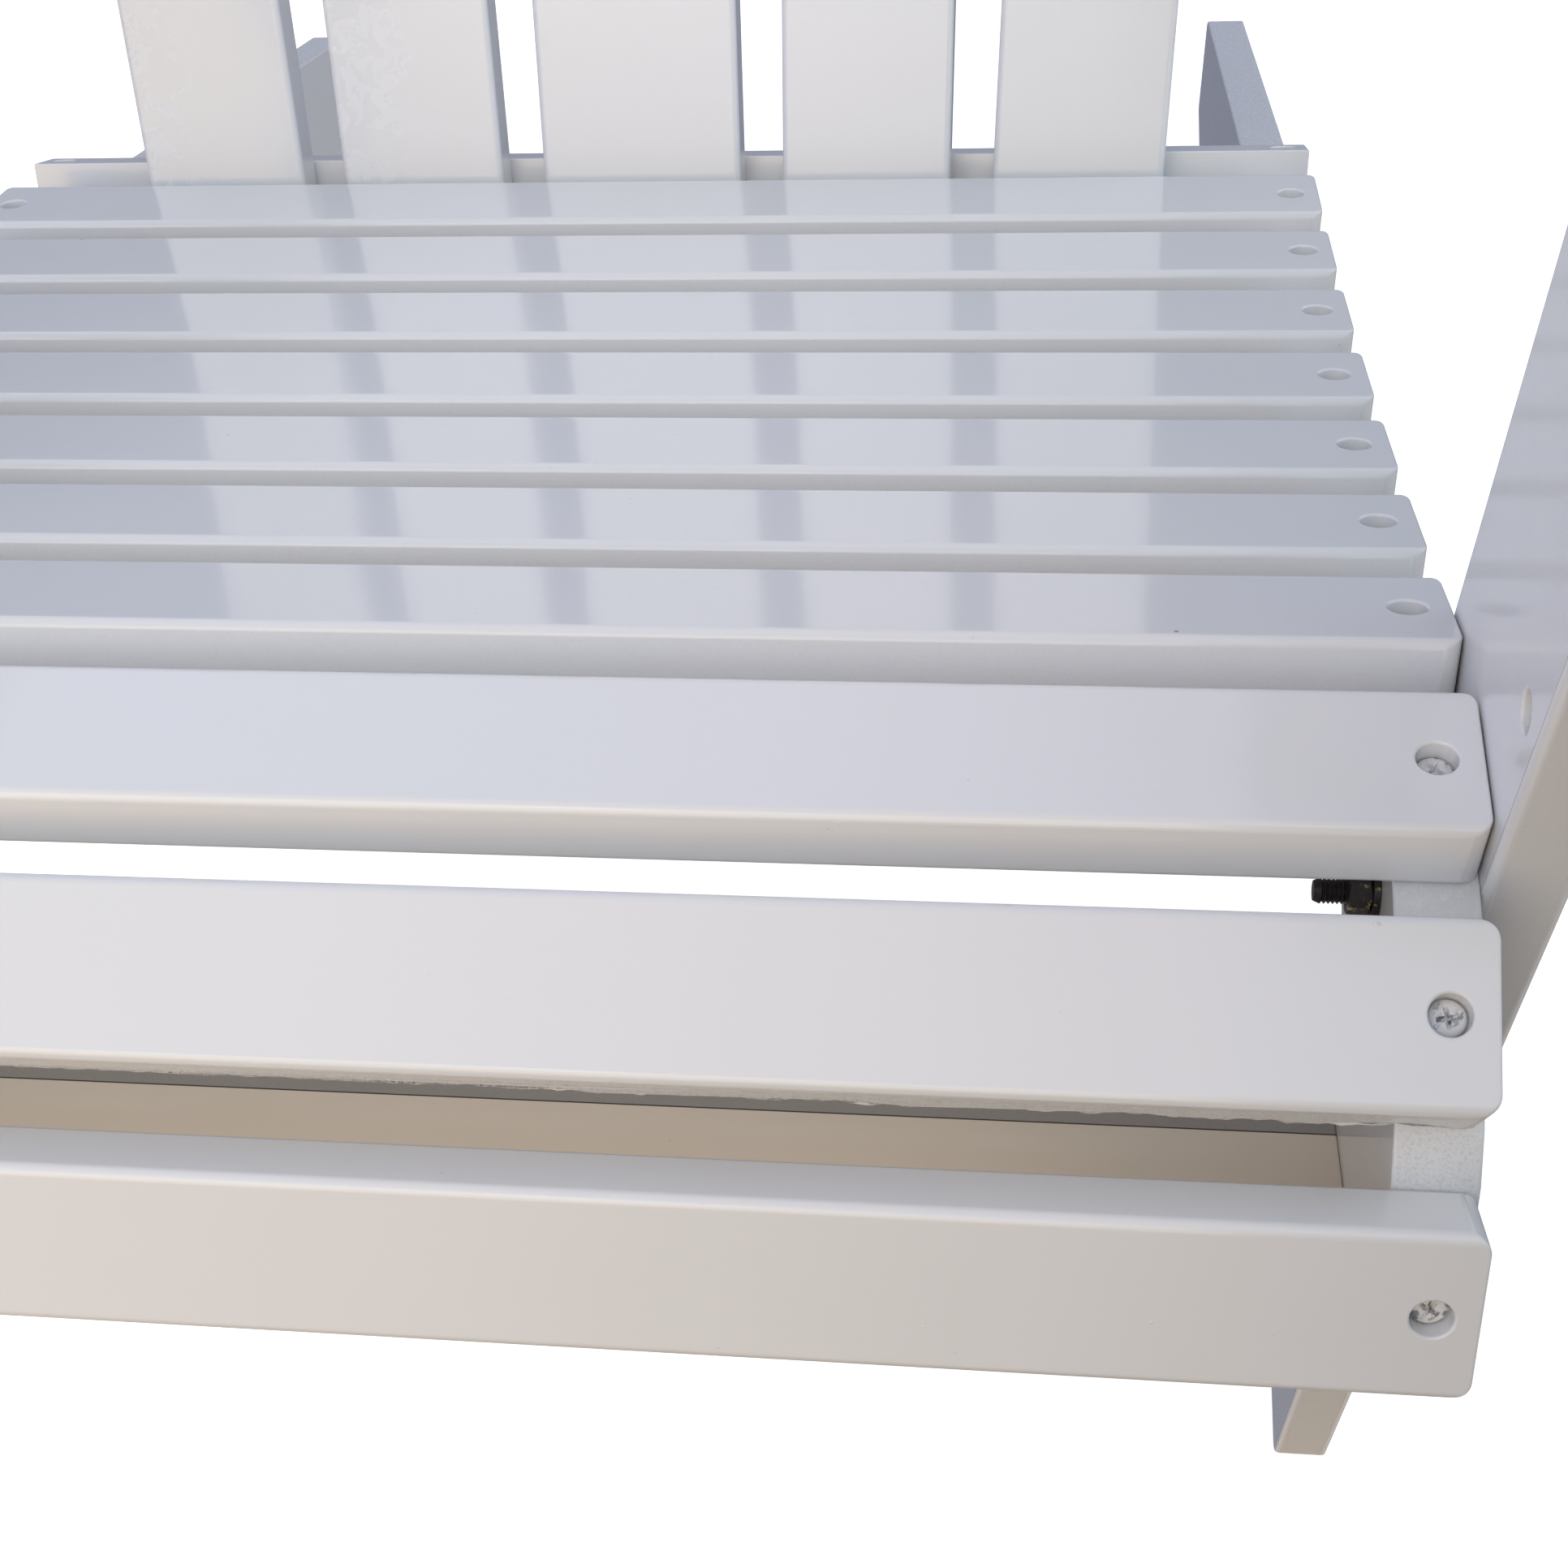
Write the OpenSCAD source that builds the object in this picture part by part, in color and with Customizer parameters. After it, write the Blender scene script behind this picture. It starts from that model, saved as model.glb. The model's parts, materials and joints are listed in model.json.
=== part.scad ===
// Adirondack garden chair: painted boards screwed and bolted together.
// X runs across the chair, +Y runs from the front to the back, +Z is up. Millimetres.

/* [Seat] */
// Width across the outside of the two stringers
seat_w = 520; // [440:5:640]
// Height of the highest seat board (the front slat) above the floor
seat_h = 397; // [330:1:460]
// Width of every seat board
slat_w = 42; // [34:0.5:50]
// Thickness of every seat board
slat_t = 18.5; // [14:0.5:24]
// Gap between two neighbouring seat slats
slat_gap = 16; // [8:0.5:24]
// Gap between the bottom edges of the boards that wrap the nose
nose_gap = 10.5; // [6:0.5:16]
// Downward slope of the rearmost seat slat
seat_rear_slope = 19; // [12:0.5:25]
// Downward slope of the frontmost seat slat, which with the one above makes the dish
seat_front_slope = 27; // [20:0.5:32]
// Downward slope of the front slat on top of the nose
front_slat_slope = 5.3; // [0:0.1:12]
// Forward tilt of the nose slat
nose_slat_tilt = 19.6; // [14:0.1:26]
// Forward tilt of the front apron
apron_tilt = 57.5; // [50:0.5:66]
// Clearance between a seat board's end and the front leg
slat_end_gap = 0.4; // [0.2:0.1:2]
// Distance from a stringer's outer face to the seat screws
screw_inset = 10.6; // [8:0.1:11]
// Corner radius of the boards in plan
slat_corner_r = 5; // [2:0.5:8]

/* [Stringers] */
// Thickness of a stringer
stringer_t = 18.7; // [15:0.1:24]
// Slope of the straight tail behind the seat
tail_slope = 24.3; // [20:0.1:28]
// Height of the stringer's rear end
tail_end_h = 55; // [40:1:66]
// Length of the flat sole under the tail
sole_len = 120; // [80:1:160]
// Radius of the eased top corner at the rear end
tail_corner_r = 9; // [4:1:14]
// How far the chin reaches below the bottom edge of the apron
chin_drop = 52; // [46:1:70]
// How far the chin's corner lies behind the bottom edge of the apron
chin_back = 22; // [14:1:34]
// How far the underside's front corner lies below the front slat's rear edge
throat_drop = 56.5; // [52:0.5:70]
// How far the underside's front corner lies ahead of the front slat's rear edge
throat_ahead = 8.5; // [4:0.5:12]

/* [Front legs] */
// Width of a front leg, from front to back
leg_w = 82.5; // [70:0.5:100]
// Thickness of a front leg
leg_t = 18.5; // [15:0.5:24]
// Distance from the front edge of the leg to the middle of the front slat
leg_to_front_slat = 23.6; // [16:0.1:32]
// Radius of the rounded corners of the foot
foot_r = 7; // [3:0.5:12]

/* [Back] */
// Recline of the back from the vertical
back_recline = 31; // [24:0.5:34]
// Thickness of a back slat
back_t = 17; // [14:0.5:20]
// Width of the middle back slat
back_mid_w = 79; // [70:1:90]
// Width of the four other back slats
back_side_w = 65.5; // [56:0.5:72]
// Gap between back slats at the lower rail
back_gap = 16.8; // [8:0.1:22]
// Fan angle from one back slat to the next
back_fan = 0.9; // [0:0.1:1.4]
// Length of the middle back slat above the lower rail
back_len = 740; // [640:5:820]
// Length of the back slats below the top edge of the lower rail
back_tail = 58; // [50:1:80]
// Radius of the arch that all the tops follow
back_arch_r = 400; // [330:5:600]
// Clearance between the rear seat slat and the back slats
seat_to_back = 8.5; // [4:0.5:14]
// How far the lower rail rises above the rear edge of the seat, along the back
rail_rise = 5.3; // [2:0.1:10]
// Width of the lower back rail
rail_w = 42; // [36:0.5:52]
// Thickness of the three back rails
rail_t = 18.5; // [14:0.5:22]
// Height of the arm rail's front face, along the back
arm_rail_w = 62; // [50:1:80]
// Width of the top batten
batten_w = 42; // [34:0.5:52]
// Distance from the lower rail's top edge to the middle of the top batten
batten_pos = 590; // [540:5:600]
// Inset of the top batten's ends from the outer back slats' edges
batten_inset = 8; // [4:1:16]

/* [Arms] */
// Height of the top of the armrests
arm_h = 600; // [540:5:640]
// Thickness of an armrest
arm_t = 18.5; // [15:0.5:24]
// Width of an armrest at the front
arm_w = 124; // [100:1:140]
// Width of an armrest at the rear
arm_rear_w = 66; // [56:1:90]
// Overhang of an armrest in front of the front leg
arm_front = 48; // [20:1:70]
// Overhang of an armrest inside the front leg
arm_inside = 22; // [10:1:26]
// Overhang of an armrest behind the arm rail
arm_behind = 16; // [8:1:30]
// Distance from the front leg over which the armrest keeps its full width
arm_straight = 190; // [120:5:260]
// Clearance between the upper leg bolt's head and the arm bracket's lower end
bracket_clear = 26.1; // [10:0.1:40]
// Width of an arm bracket at the top
bracket_w = 66; // [56:1:72]
// Width of an arm bracket at its lower end
bracket_foot = 24; // [22:1:28]
// Thickness of an arm bracket
bracket_t = 18.5; // [15:0.5:22]
// Distance from the front edge of the leg to the middle of the bracket
bracket_pos = 13.3; // [11:0.1:20]

/* [Front stretcher] */
// Width of the stretcher
stretcher_w = 64; // [50:0.5:72]
// Thickness of the stretcher
stretcher_t = 18.5; // [14:0.5:20]
// Slope of the stretcher, down towards the rear
stretcher_slope = 18; // [12:0.5:24]
// Distance of the stretcher's front edge in front of the leg's front edge
stretcher_y = 54.5; // [48:0.1:58]
// Height of the stretcher's top front edge below the top of the seat
stretcher_below = 92; // [86:0.5:98]

/* [Fasteners] */
// Diameter of a counterbore
bore_d = 9.2; // [8.8:0.1:10]
// Diameter of a screw head
head_d = 8.4; // [7:0.1:8.6]
// Thickness of a screw head
head_t = 2.4; // [1.6:0.1:3]
// Depth of a screw head's top below the surface
head_sink = 3.6; // [1.5:0.1:5]
// Diameter of a screw's shank
screw_d = 4; // [3:0.1:5]
// Diameter of the leg bolts
bolt_d = 6; // [5:0.5:8]
// Distance of the upper leg bolt behind the leg's front edge
bolt_y = 12.9; // [11:0.1:20]
// Height of the upper leg bolt below the top of the seat
bolt_below = 34.6; // [32:0.1:44]
// Shift backwards from the upper to the lower leg bolt
bolt_step_y = 52; // [40:1:58]
// Shift downwards from the upper to the lower leg bolt
bolt_step_z = 42; // [36:1:46]
// Length of thread past the nut
bolt_proud = 7.5; // [2:0.5:12]
// Thickness of a nut
nut_t = 5.2; // [4:0.1:6.5]
// Width of a nut across its flats
nut_af = 10; // [9:0.5:13]
// Thickness of a washer
washer_t = 1.6; // [1:0.1:2]
// Diameter of a washer
washer_d = 14; // [13:0.5:18]

/* [Hidden] */
SEAT_SLATS = 7;
FRONT_SLAT = SEAT_SLATS + 1;
NOSE_SLAT = SEAT_SLATS + 2;
APRON = SEAT_SLATS + 3;
SIDES = [-1, 1];
WHITE = "white";
ZINC = "silver";
BLACK = "dimgray";
EDGE_R = 2.5;      // easing along the edges of a board
ARC_STEPS = 8;     // straight steps in a rounded corner
CUT = 1;           // how far a cutting shape reaches past a surface
ROUND_FN = 48;
SMALL_FN = 32;
HEAD_RISE = 3.4;   // height of a domed bolt head
SEAT_BITE = 24;    // how deep a seat screw goes into the stringer
RAIL_BITE = 11;    // how deep a back slat's screw goes into its rail
END_BITE = 24;     // how deep a screw goes into end grain
BRACKET_BITE = 17; // how deep a leg screw goes into the bracket
ARM_RAIL_BITE = 22;
CROSS_W = 1.1;     // width of a slot in a cross recess
CROSS_L = 4.8;     // length of a slot in a cross recess
CROSS_DEEP = 1.3;
RAIL_SINK = 14;    // depth of the rail screws' heads, which reach down through the rail's width
TAIL_HEEL_R = 3;   // easing where the sole meets the tail's end
CHIN_TIP_R = 8;    // easing where the chin's front turns under
CHIN_R = 24;       // roundness of the chin
CHIN_SLANT = 8;    // how far the chin's front leans back from the apron's edge
CHIN_HEEL = 4;     // wood left behind the stretcher's rear edge
CHIN_HEEL_DROP = 6.5; // how far the chin's heel hangs below its corner
CHIN_HEEL_R = 10;
THROAT_R = 12;     // easing where the chin meets the underside
SOLE_R = 30;       // easing where the underside meets the sole
RAIL_EDGE_R = 2;   // easing along the arm rail's lower edges
BRACKET_LOW = 33;  // lower leg screw above the bracket's lower end
BRACKET_HIGH = 50; // upper leg screw below the armrest
ARM_INNER_R = 26;  // plan corners of an armrest, from the inner front one round to the rear
ARM_OUTER_R = 40;
ARM_WAIST_R = 160;
ARM_SWEEP_R = 120;
ARM_END_R = 16;
BRACKET_TOP_R = 4; // corners of a bracket, from the top down
BRACKET_LIP_R = 10;
BRACKET_SWEEP_R = 60;
BRACKET_FOOT_R = 8;
BRACKET_LIP = 0.16;   // end of the bracket's upright edge, as a share of its height
BRACKET_WAIST = 0.55; // where the bracket's sweep ends, as a share of its height
BRACKET_FLARE = 6;    // how much wider the bracket is at its waist than at its foot
ARM_LEG_SCREWS = [0.4, 0.8];    // armrest screws, as shares of the leg's width
ARM_BRACKET_SCREW = 0.6;        // armrest screw, as a share of the bracket's width
ARM_RAIL_SCREWS = [0.28, 0.72]; // armrest screws, as shares of the armrest's rear width
BACK_SLATS = 5;
BACK_MIDDLE = 3;
BACK_SCREW_SPREAD = 0.24; // a back slat's screws either side of its middle, as a share of its width

stringer_x = (seat_w - stringer_t) / 2;
inner_w = seat_w - 2 * stringer_t;
leg_x = (seat_w + leg_t) / 2;
arm_under = arm_h - arm_t;
arm_in_x = seat_w / 2 - arm_inside;
seat_len = seat_w - 2 * slat_end_gap;

// Slope of seat board k, positive where the board rises towards the back. Board 1 is the rearmost.
function slat_angle(k) =
    k <= SEAT_SLATS
        ? -(seat_rear_slope + (seat_front_slope - seat_rear_slope) * (k - 1) / (SEAT_SLATS - 1))
        : k == FRONT_SLAT ? -front_slat_slope
        : k == NOSE_SLAT ? nose_slat_tilt
        : apron_tilt;

// Step from board k - 1 to board k, measured along the undersides.
function slat_pitch(k) = slat_w + (k <= SEAT_SLATS ? slat_gap : nose_gap);
function step_angle(k) = (slat_angle(k) + slat_angle(k - 1)) / 2;
function along(a) = [cos(a), sin(a)];
function across(a) = [-sin(a), cos(a)];

// Middle of the underside of board k, as [y, z], worked out from the front slat both ways.
FRONT_UNDER = [leg_to_front_slat, seat_h - slat_t];
function slat_under(k) =
    k == FRONT_SLAT ? FRONT_UNDER
    : k > FRONT_SLAT ? slat_under(k - 1) - slat_pitch(k) * along(step_angle(k))
    : slat_under(k + 1) + slat_pitch(k + 1) * along(step_angle(k + 1));
function slat_rear_edge(k) = slat_under(k) + slat_w / 2 * along(slat_angle(k));
function slat_front_edge(k) = slat_under(k) - slat_w / 2 * along(slat_angle(k));

// The back's own frame starts at the front top edge of the lower rail.
seat_rear_top = slat_rear_edge(1) + slat_t * across(slat_angle(1));
back_up = along(90 - back_recline);
back_front = across(90 - back_recline);
back_origin = seat_rear_top + rail_rise * back_up - (seat_to_back + back_t) * back_front;

// Where the stringer's tail ends, and the corners of its chin and underside.
tail_start = slat_rear_edge(1);
tail_reach = tail_start[0] + (tail_start[1] - tail_end_h) / tan(tail_slope);
chin = slat_front_edge(APRON) + [chin_back, -chin_drop];
chin_tip = slat_front_edge(APRON) + [CHIN_SLANT, -chin_drop * 2 / 3];
stretcher_rear = stretcher_w * cos(stretcher_slope) - stretcher_y;
chin_heel = [stretcher_rear + CHIN_HEEL, chin[1] - CHIN_HEEL_DROP];
throat = slat_rear_edge(FRONT_SLAT) - [throat_ahead, throat_drop];

// Where the arm rail's bevelled top lies, along the back and from front to back.
arm_rail_top = (arm_under - back_origin[1]) / cos(back_recline);
arm_rail_y = back_origin[0] + arm_rail_top * sin(back_recline);
arm_rail_depth = rail_t / cos(back_recline);
arm_end_y = arm_rail_y + arm_rail_depth + arm_behind;
arm_rail_mid_y = arm_rail_y + arm_rail_depth / 2;
arm_rail_half = arm_in_x + arm_rear_w;
bracket_y = bracket_pos;
bracket_h = arm_under - (seat_h - bolt_below + washer_d / 2 + bracket_clear);
bracket_screws = [arm_under - bracket_h + BRACKET_LOW, arm_under - BRACKET_HIGH];

// Foremost point of seat board k, on its eased front edges.
function slat_reach(k) =
    let (a = slat_angle(k), low = EDGE_R * sin(a), high = (slat_t - EDGE_R) * sin(a))
    slat_under(k)[0] - (slat_w / 2 - EDGE_R) * cos(a) - max(low, high) - EDGE_R;

// The chair's box from front to back, which puts the origin at its middle.
front_y = min(slat_reach(NOSE_SLAT), slat_reach(APRON), -arm_front);
arch_top = back_origin + back_len * back_up;
rear_y = max(tail_reach, arch_top[0], arm_end_y);
mid_y = (front_y + rear_y) / 2;

// ---------- outlines ----------

// Arc points that round corner b of the path a, b, c.
function unit(v) = v / norm(v);
function corner_arc(a, b, c, r) =
    let (
        u = unit(a - b),
        v = unit(c - b),
        half = acos(max(-1, min(1, u * v))) / 2,
        centre = b + unit(u + v) * r / sin(half),
        from = b + u * r / tan(half) - centre,
        to = b + v * r / tan(half) - centre,
        turn = from[0] * to[1] - from[1] * to[0] > 0 ? 1 : -1,
        sweep = 180 - 2 * half
    )
    [for (i = [0:ARC_STEPS])
        let (g = turn * sweep * i / ARC_STEPS)
        centre + [from[0] * cos(g) - from[1] * sin(g), from[0] * sin(g) + from[1] * cos(g)]];

// An outline from [point, radius] pairs; a radius of 0 keeps the corner sharp.
function rounded(path) =
    [for (i = [0:len(path) - 1])
        let (
            n = len(path),
            a = path[(i + n - 1) % n][0],
            b = path[i][0],
            c = path[(i + 1) % n][0],
            r = path[i][1]
        )
        each (r == 0 ? [b] : corner_arc(a, b, c, r))];

module round_rect(w, h, r) {
    square([w - 2 * r, h], center = true);
    square([w, h - 2 * r], center = true);
    for (x = SIDES, y = SIDES)
        translate([x * (w / 2 - r), y * (h / 2 - r)])
            circle(r = r, $fn = SMALL_FN);
}

// Board lying on the XY plane with its length along X: rounded corners and eased long edges.
module board(length, width, thick, corner_r) {
    intersection() {
        linear_extrude(thick)
            round_rect(length, width, corner_r);
        rotate([90, 0, 90])
            linear_extrude(length, center = true)
                translate([0, thick / 2])
                    round_rect(width, thick, EDGE_R);
    }
}

// Extrudes an outline drawn as [y, z] points along X, centred on x.
module side_plate(thick, x) {
    translate([x - thick / 2, 0, 0])
        rotate([90, 0, 90])
            linear_extrude(thick)
                children();
}

// ---------- fasteners ----------

// All of these hang from the board's surface at z = 0, with +Z pointing out of the wood.
module screw(shank, sink = head_sink) {
    translate([0, 0, -sink - head_t])
        difference() {
            cylinder(h = head_t, d = head_d, $fn = SMALL_FN);
            translate([0, 0, head_t - CROSS_DEEP])
                for (turn = [0, 90])
                    rotate([0, 0, turn])
                        translate([-CROSS_L / 2, -CROSS_W / 2, 0])
                            cube([CROSS_L, CROSS_W, CROSS_DEEP + CUT]);
        }
    translate([0, 0, -sink - head_t - shank])
        cylinder(h = shank, d = screw_d, $fn = SMALL_FN);
}

module screw_hole(shank, sink = head_sink) {
    translate([0, 0, -sink - head_t])
        cylinder(h = sink + head_t + CUT, d = bore_d, $fn = ROUND_FN);
    translate([0, 0, -sink - head_t - shank])
        cylinder(h = shank + CUT, d = screw_d, $fn = SMALL_FN);
}

seat_shank = slat_t - head_sink - head_t + SEAT_BITE;
back_shank = back_t - head_sink - head_t + RAIL_BITE;
bracket_shank = leg_t - head_sink - head_t + BRACKET_BITE;
stretcher_shank = stringer_t - head_sink - head_t + END_BITE;
rail_shank = rail_w - RAIL_SINK - head_t + END_BITE;
arm_shank = arm_t - head_sink - head_t + END_BITE;
arm_rail_shank = arm_t - head_sink - head_t + ARM_RAIL_BITE;

// ---------- places ----------

module chair() {
    translate([0, -mid_y, 0])
        children();
}

// Frame of seat board k: origin in the middle of its underside, +Z out of its top face.
module at_slat(k) {
    translate([0, slat_under(k)[0], slat_under(k)[1]])
        rotate([slat_angle(k), 0, 0])
            children();
}

module at_slat_screws(k, sides = SIDES) {
    at_slat(k)
        for (side = sides)
            translate([side * (seat_w / 2 - screw_inset), 0, slat_t])
                children();
}

// Frame of the back: +Y up along the slats, +Z towards the sitter, z = 0 on the slats' rear faces.
module at_back() {
    translate([0, back_origin[0], back_origin[1]])
        rotate([90 - back_recline, 0, 0])
            children();
}

function back_w(i) = i == BACK_MIDDLE ? back_mid_w : back_side_w;
function back_x(i) =
    (i - BACK_MIDDLE) * (back_side_w + back_gap) + sign(i - BACK_MIDDLE) * (back_mid_w - back_side_w) / 2;
function back_turn(i) = -(i - BACK_MIDDLE) * back_fan;

// Frame of back slat i, turned about the middle of its crossing with the lower rail.
module at_back_slat(i) {
    at_back()
        translate([back_x(i), 0, 0])
            rotate([0, 0, back_turn(i)])
                children();
}

// Screws along back slat i where it crosses a rail at height s along the back.
module at_back_screws(s, spread) {
    for (i = [1:BACK_SLATS])
        at_back_slat(i)
            for (x = SIDES)
                translate([x * spread * back_w(i), s / cos(back_turn(i)), back_t])
                    children();
}

lower_screw_s = -rail_w / 2;
arm_screw_s = arm_rail_top - arm_rail_w / 2;

module at_bolts(side) {
    for (i = [0, 1])
        translate([side * (seat_w / 2), bolt_y + i * bolt_step_y, seat_h - bolt_below - i * bolt_step_z])
            rotate([0, side * 90, 0])
                children();
}

// Screws that go out through the leg into the bracket, from the leg's inner face.
module at_bracket_screws(side) {
    for (z = bracket_screws)
        translate([side * seat_w / 2, bracket_y, z])
            rotate([0, -side * 90, 0])
                children();
}

// Frame of the stretcher: origin at the middle of its top face.
module at_stretcher() {
    translate([0, -stretcher_y, seat_h - stretcher_below])
        rotate([-stretcher_slope, 0, 0])
            translate([0, stretcher_w / 2, 0])
                children();
}

module at_stretcher_screws(side) {
    at_stretcher()
        for (y = SIDES)
            translate([side * seat_w / 2, y * stretcher_w / 4, -stretcher_t / 2])
                rotate([0, side * 90, 0])
                    children();
}

// Screws that go down through the lower rail's width into the stringers.
module at_rail_screws(side) {
    at_back()
        translate([side * stringer_x, 0, -rail_t / 2])
            rotate([-90, 0, 0])
                children();
}

module at_arm_leg_screws(side) {
    for (share = ARM_LEG_SCREWS)
        translate([side * leg_x, share * leg_w, arm_h])
            children();
}

module at_arm_bracket_screws(side) {
    translate([side * (seat_w / 2 + leg_t + bracket_w * ARM_BRACKET_SCREW), bracket_y, arm_h])
        children();
}

module at_arm_rail_ends(side) {
    for (share = ARM_RAIL_SCREWS)
        translate([side * (arm_in_x + share * arm_rear_w), arm_rail_mid_y, arm_h])
            children();
}

// ---------- boards ----------

// Side view of a stringer: seat flats along the top, a chin that holds the stretcher and a flat sole.
module stringer_outline() {
    seats = [for (k = [1:APRON]) each [[slat_rear_edge(k), 0], [slat_front_edge(k), 0]]];
    polygon(rounded(concat(
        [[[tail_reach, 0], TAIL_HEEL_R], [[tail_reach, tail_end_h], tail_corner_r]],
        seats,
        [[chin_tip, CHIN_TIP_R], [chin, CHIN_R], [chin_heel, CHIN_HEEL_R], [throat, THROAT_R]],
        [[[tail_reach - sole_len, 0], SOLE_R]]
    )));
}

module stringer(side) {
    color(WHITE)
        chair()
            difference() {
                side_plate(stringer_t, side * stringer_x)
                    stringer_outline();
                at_back()
                    translate([side * stringer_x - stringer_t, -rail_w, -rail_t])
                        cube([2 * stringer_t, 3 * rail_w, rail_t]);
                for (k = [1:APRON])
                    at_slat_screws(k, [side])
                        screw_hole(seat_shank);
                at_bolts(side)
                    cylinder(h = 4 * stringer_t, d = bolt_d, center = true, $fn = SMALL_FN);
                at_stretcher_screws(side)
                    screw_hole(stretcher_shank);
                at_rail_screws(side)
                    screw_hole(rail_shank, RAIL_SINK);
            }
}

module front_leg(side) {
    leg_path = [
        [[0, 0], foot_r],
        [[leg_w, 0], foot_r],
        [[leg_w, arm_under], 0],
        [[0, arm_under], 0],
    ];
    color(WHITE)
        chair()
            difference() {
                intersection() {
                    side_plate(leg_t, side * leg_x)
                        polygon(rounded(leg_path));
                    translate([side * leg_x, leg_w / 2, 0])
                        linear_extrude(arm_under)
                            round_rect(leg_t, leg_w, EDGE_R);
                }
                at_bolts(side)
                    cylinder(h = 4 * leg_t, d = bolt_d, center = true, $fn = SMALL_FN);
                at_bracket_screws(side)
                    screw_hole(bracket_shank);
                at_arm_leg_screws(side)
                    screw_hole(arm_shank);
            }
}

module front_stretcher() {
    color(WHITE)
        chair()
            difference() {
                at_stretcher()
                    translate([0, 0, -stretcher_t / 2])
                        rotate([90, 0, 90])
                            linear_extrude(inner_w, center = true)
                                round_rect(stretcher_w, stretcher_t, EDGE_R);
                for (side = SIDES)
                    at_stretcher_screws(side)
                        screw_hole(stretcher_shank);
            }
}

module seat_board(k) {
    color(WHITE)
        chair()
            difference() {
                at_slat(k)
                    board(seat_len, slat_w, slat_t, slat_corner_r);
                at_slat_screws(k)
                    screw_hole(seat_shank);
            }
}

module lower_back_rail() {
    color(WHITE)
        chair()
            difference() {
                at_back()
                    translate([0, -rail_w / 2, -rail_t / 2])
                        rotate([90, 0, 90])
                            linear_extrude(seat_w, center = true)
                                square([rail_w, rail_t], center = true);
                at_back_screws(lower_screw_s, BACK_SCREW_SPREAD)
                    screw_hole(back_shank);
                for (side = SIDES)
                    at_rail_screws(side)
                        screw_hole(rail_shank, RAIL_SINK);
            }
}

// The arm rail leans with the back, and its top edge is bevelled level to carry the armrests.
module arm_rail() {
    lean = arm_rail_w * back_up;
    front_top = [arm_rail_y, arm_under];
    rear_top = [arm_rail_y + arm_rail_depth, arm_under];
    rail_path = [
        [front_top, 0],
        [front_top - lean, RAIL_EDGE_R],
        [front_top - lean - rail_t * back_front, RAIL_EDGE_R],
        [rear_top, 0],
    ];
    color(WHITE)
        chair()
            difference() {
                side_plate(2 * arm_rail_half, 0)
                    polygon(rounded(rail_path));
                at_back_screws(arm_screw_s, BACK_SCREW_SPREAD)
                    screw_hole(back_shank);
                for (side = SIDES)
                    at_arm_rail_ends(side)
                        screw_hole(arm_rail_shank);
            }
}

module top_batten() {
    outer = back_x(BACK_SLATS) + back_w(BACK_SLATS) / 2 + batten_pos * tan(-back_turn(BACK_SLATS));
    color(WHITE)
        chair()
            difference() {
                at_back()
                    translate([0, batten_pos, -rail_t])
                        linear_extrude(rail_t)
                            round_rect(2 * (outer - batten_inset), batten_w, slat_corner_r);
                at_back_screws(batten_pos, BACK_SCREW_SPREAD)
                    screw_hole(back_shank);
            }
}

// Back slat i runs long, and one arch trims all five tops.
module back_slat(i) {
    below_arch = back_len - back_arch_r + 2 * back_tail;
    color(WHITE)
        chair()
            difference() {
                intersection() {
                    at_back_slat(i)
                        translate([0, (back_len - back_tail) / 2, back_t / 2])
                            rotate([90, 0, 0])
                                linear_extrude(back_len + back_tail, center = true)
                                    round_rect(back_w(i), back_t, EDGE_R);
                    at_back()
                        union() {
                            translate([0, back_len - back_arch_r, -CUT])
                                cylinder(h = back_t + 2 * CUT, r = back_arch_r, $fn = 4 * ROUND_FN);
                            translate([-back_arch_r, -2 * back_tail, -CUT])
                                cube([2 * back_arch_r, below_arch, back_t + 2 * CUT]);
                        }
                }
                at_back_screws(lower_screw_s, BACK_SCREW_SPREAD)
                    screw_hole(back_shank);
                at_back_screws(arm_screw_s, BACK_SCREW_SPREAD)
                    screw_hole(back_shank);
                at_back_screws(batten_pos, BACK_SCREW_SPREAD)
                    screw_hole(back_shank);
            }
}

// Plan of the right armrest: a wide front that narrows behind the leg.
module armrest_outline() {
    polygon(rounded([
        [[arm_in_x, -arm_front], ARM_INNER_R],
        [[arm_in_x + arm_w, -arm_front], ARM_OUTER_R],
        [[arm_in_x + arm_w, arm_straight], ARM_WAIST_R],
        [[arm_in_x + arm_rear_w, arm_end_y - arm_rear_w], ARM_SWEEP_R],
        [[arm_in_x + arm_rear_w, arm_end_y], ARM_END_R],
        [[arm_in_x, arm_end_y], ARM_END_R],
    ]));
}

module armrest(side) {
    color(WHITE)
        chair()
            difference() {
                translate([0, 0, arm_under])
                    linear_extrude(arm_t)
                        scale([side, 1, 1])
                            armrest_outline();
                at_arm_leg_screws(side)
                    screw_hole(arm_shank);
                at_arm_bracket_screws(side)
                    screw_hole(arm_shank);
                at_arm_rail_ends(side)
                    screw_hole(arm_rail_shank);
            }
}

// Front view of the right bracket, from the top corner against the leg.
module bracket_outline() {
    polygon(rounded([
        [[0, 0], 0],
        [[bracket_w, 0], BRACKET_TOP_R],
        [[bracket_w, -bracket_h * BRACKET_LIP], BRACKET_LIP_R],
        [[bracket_foot + BRACKET_FLARE, -bracket_h * BRACKET_WAIST], BRACKET_SWEEP_R],
        [[bracket_foot, -bracket_h], BRACKET_FOOT_R],
        [[0, -bracket_h], 0],
    ]));
}

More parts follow.
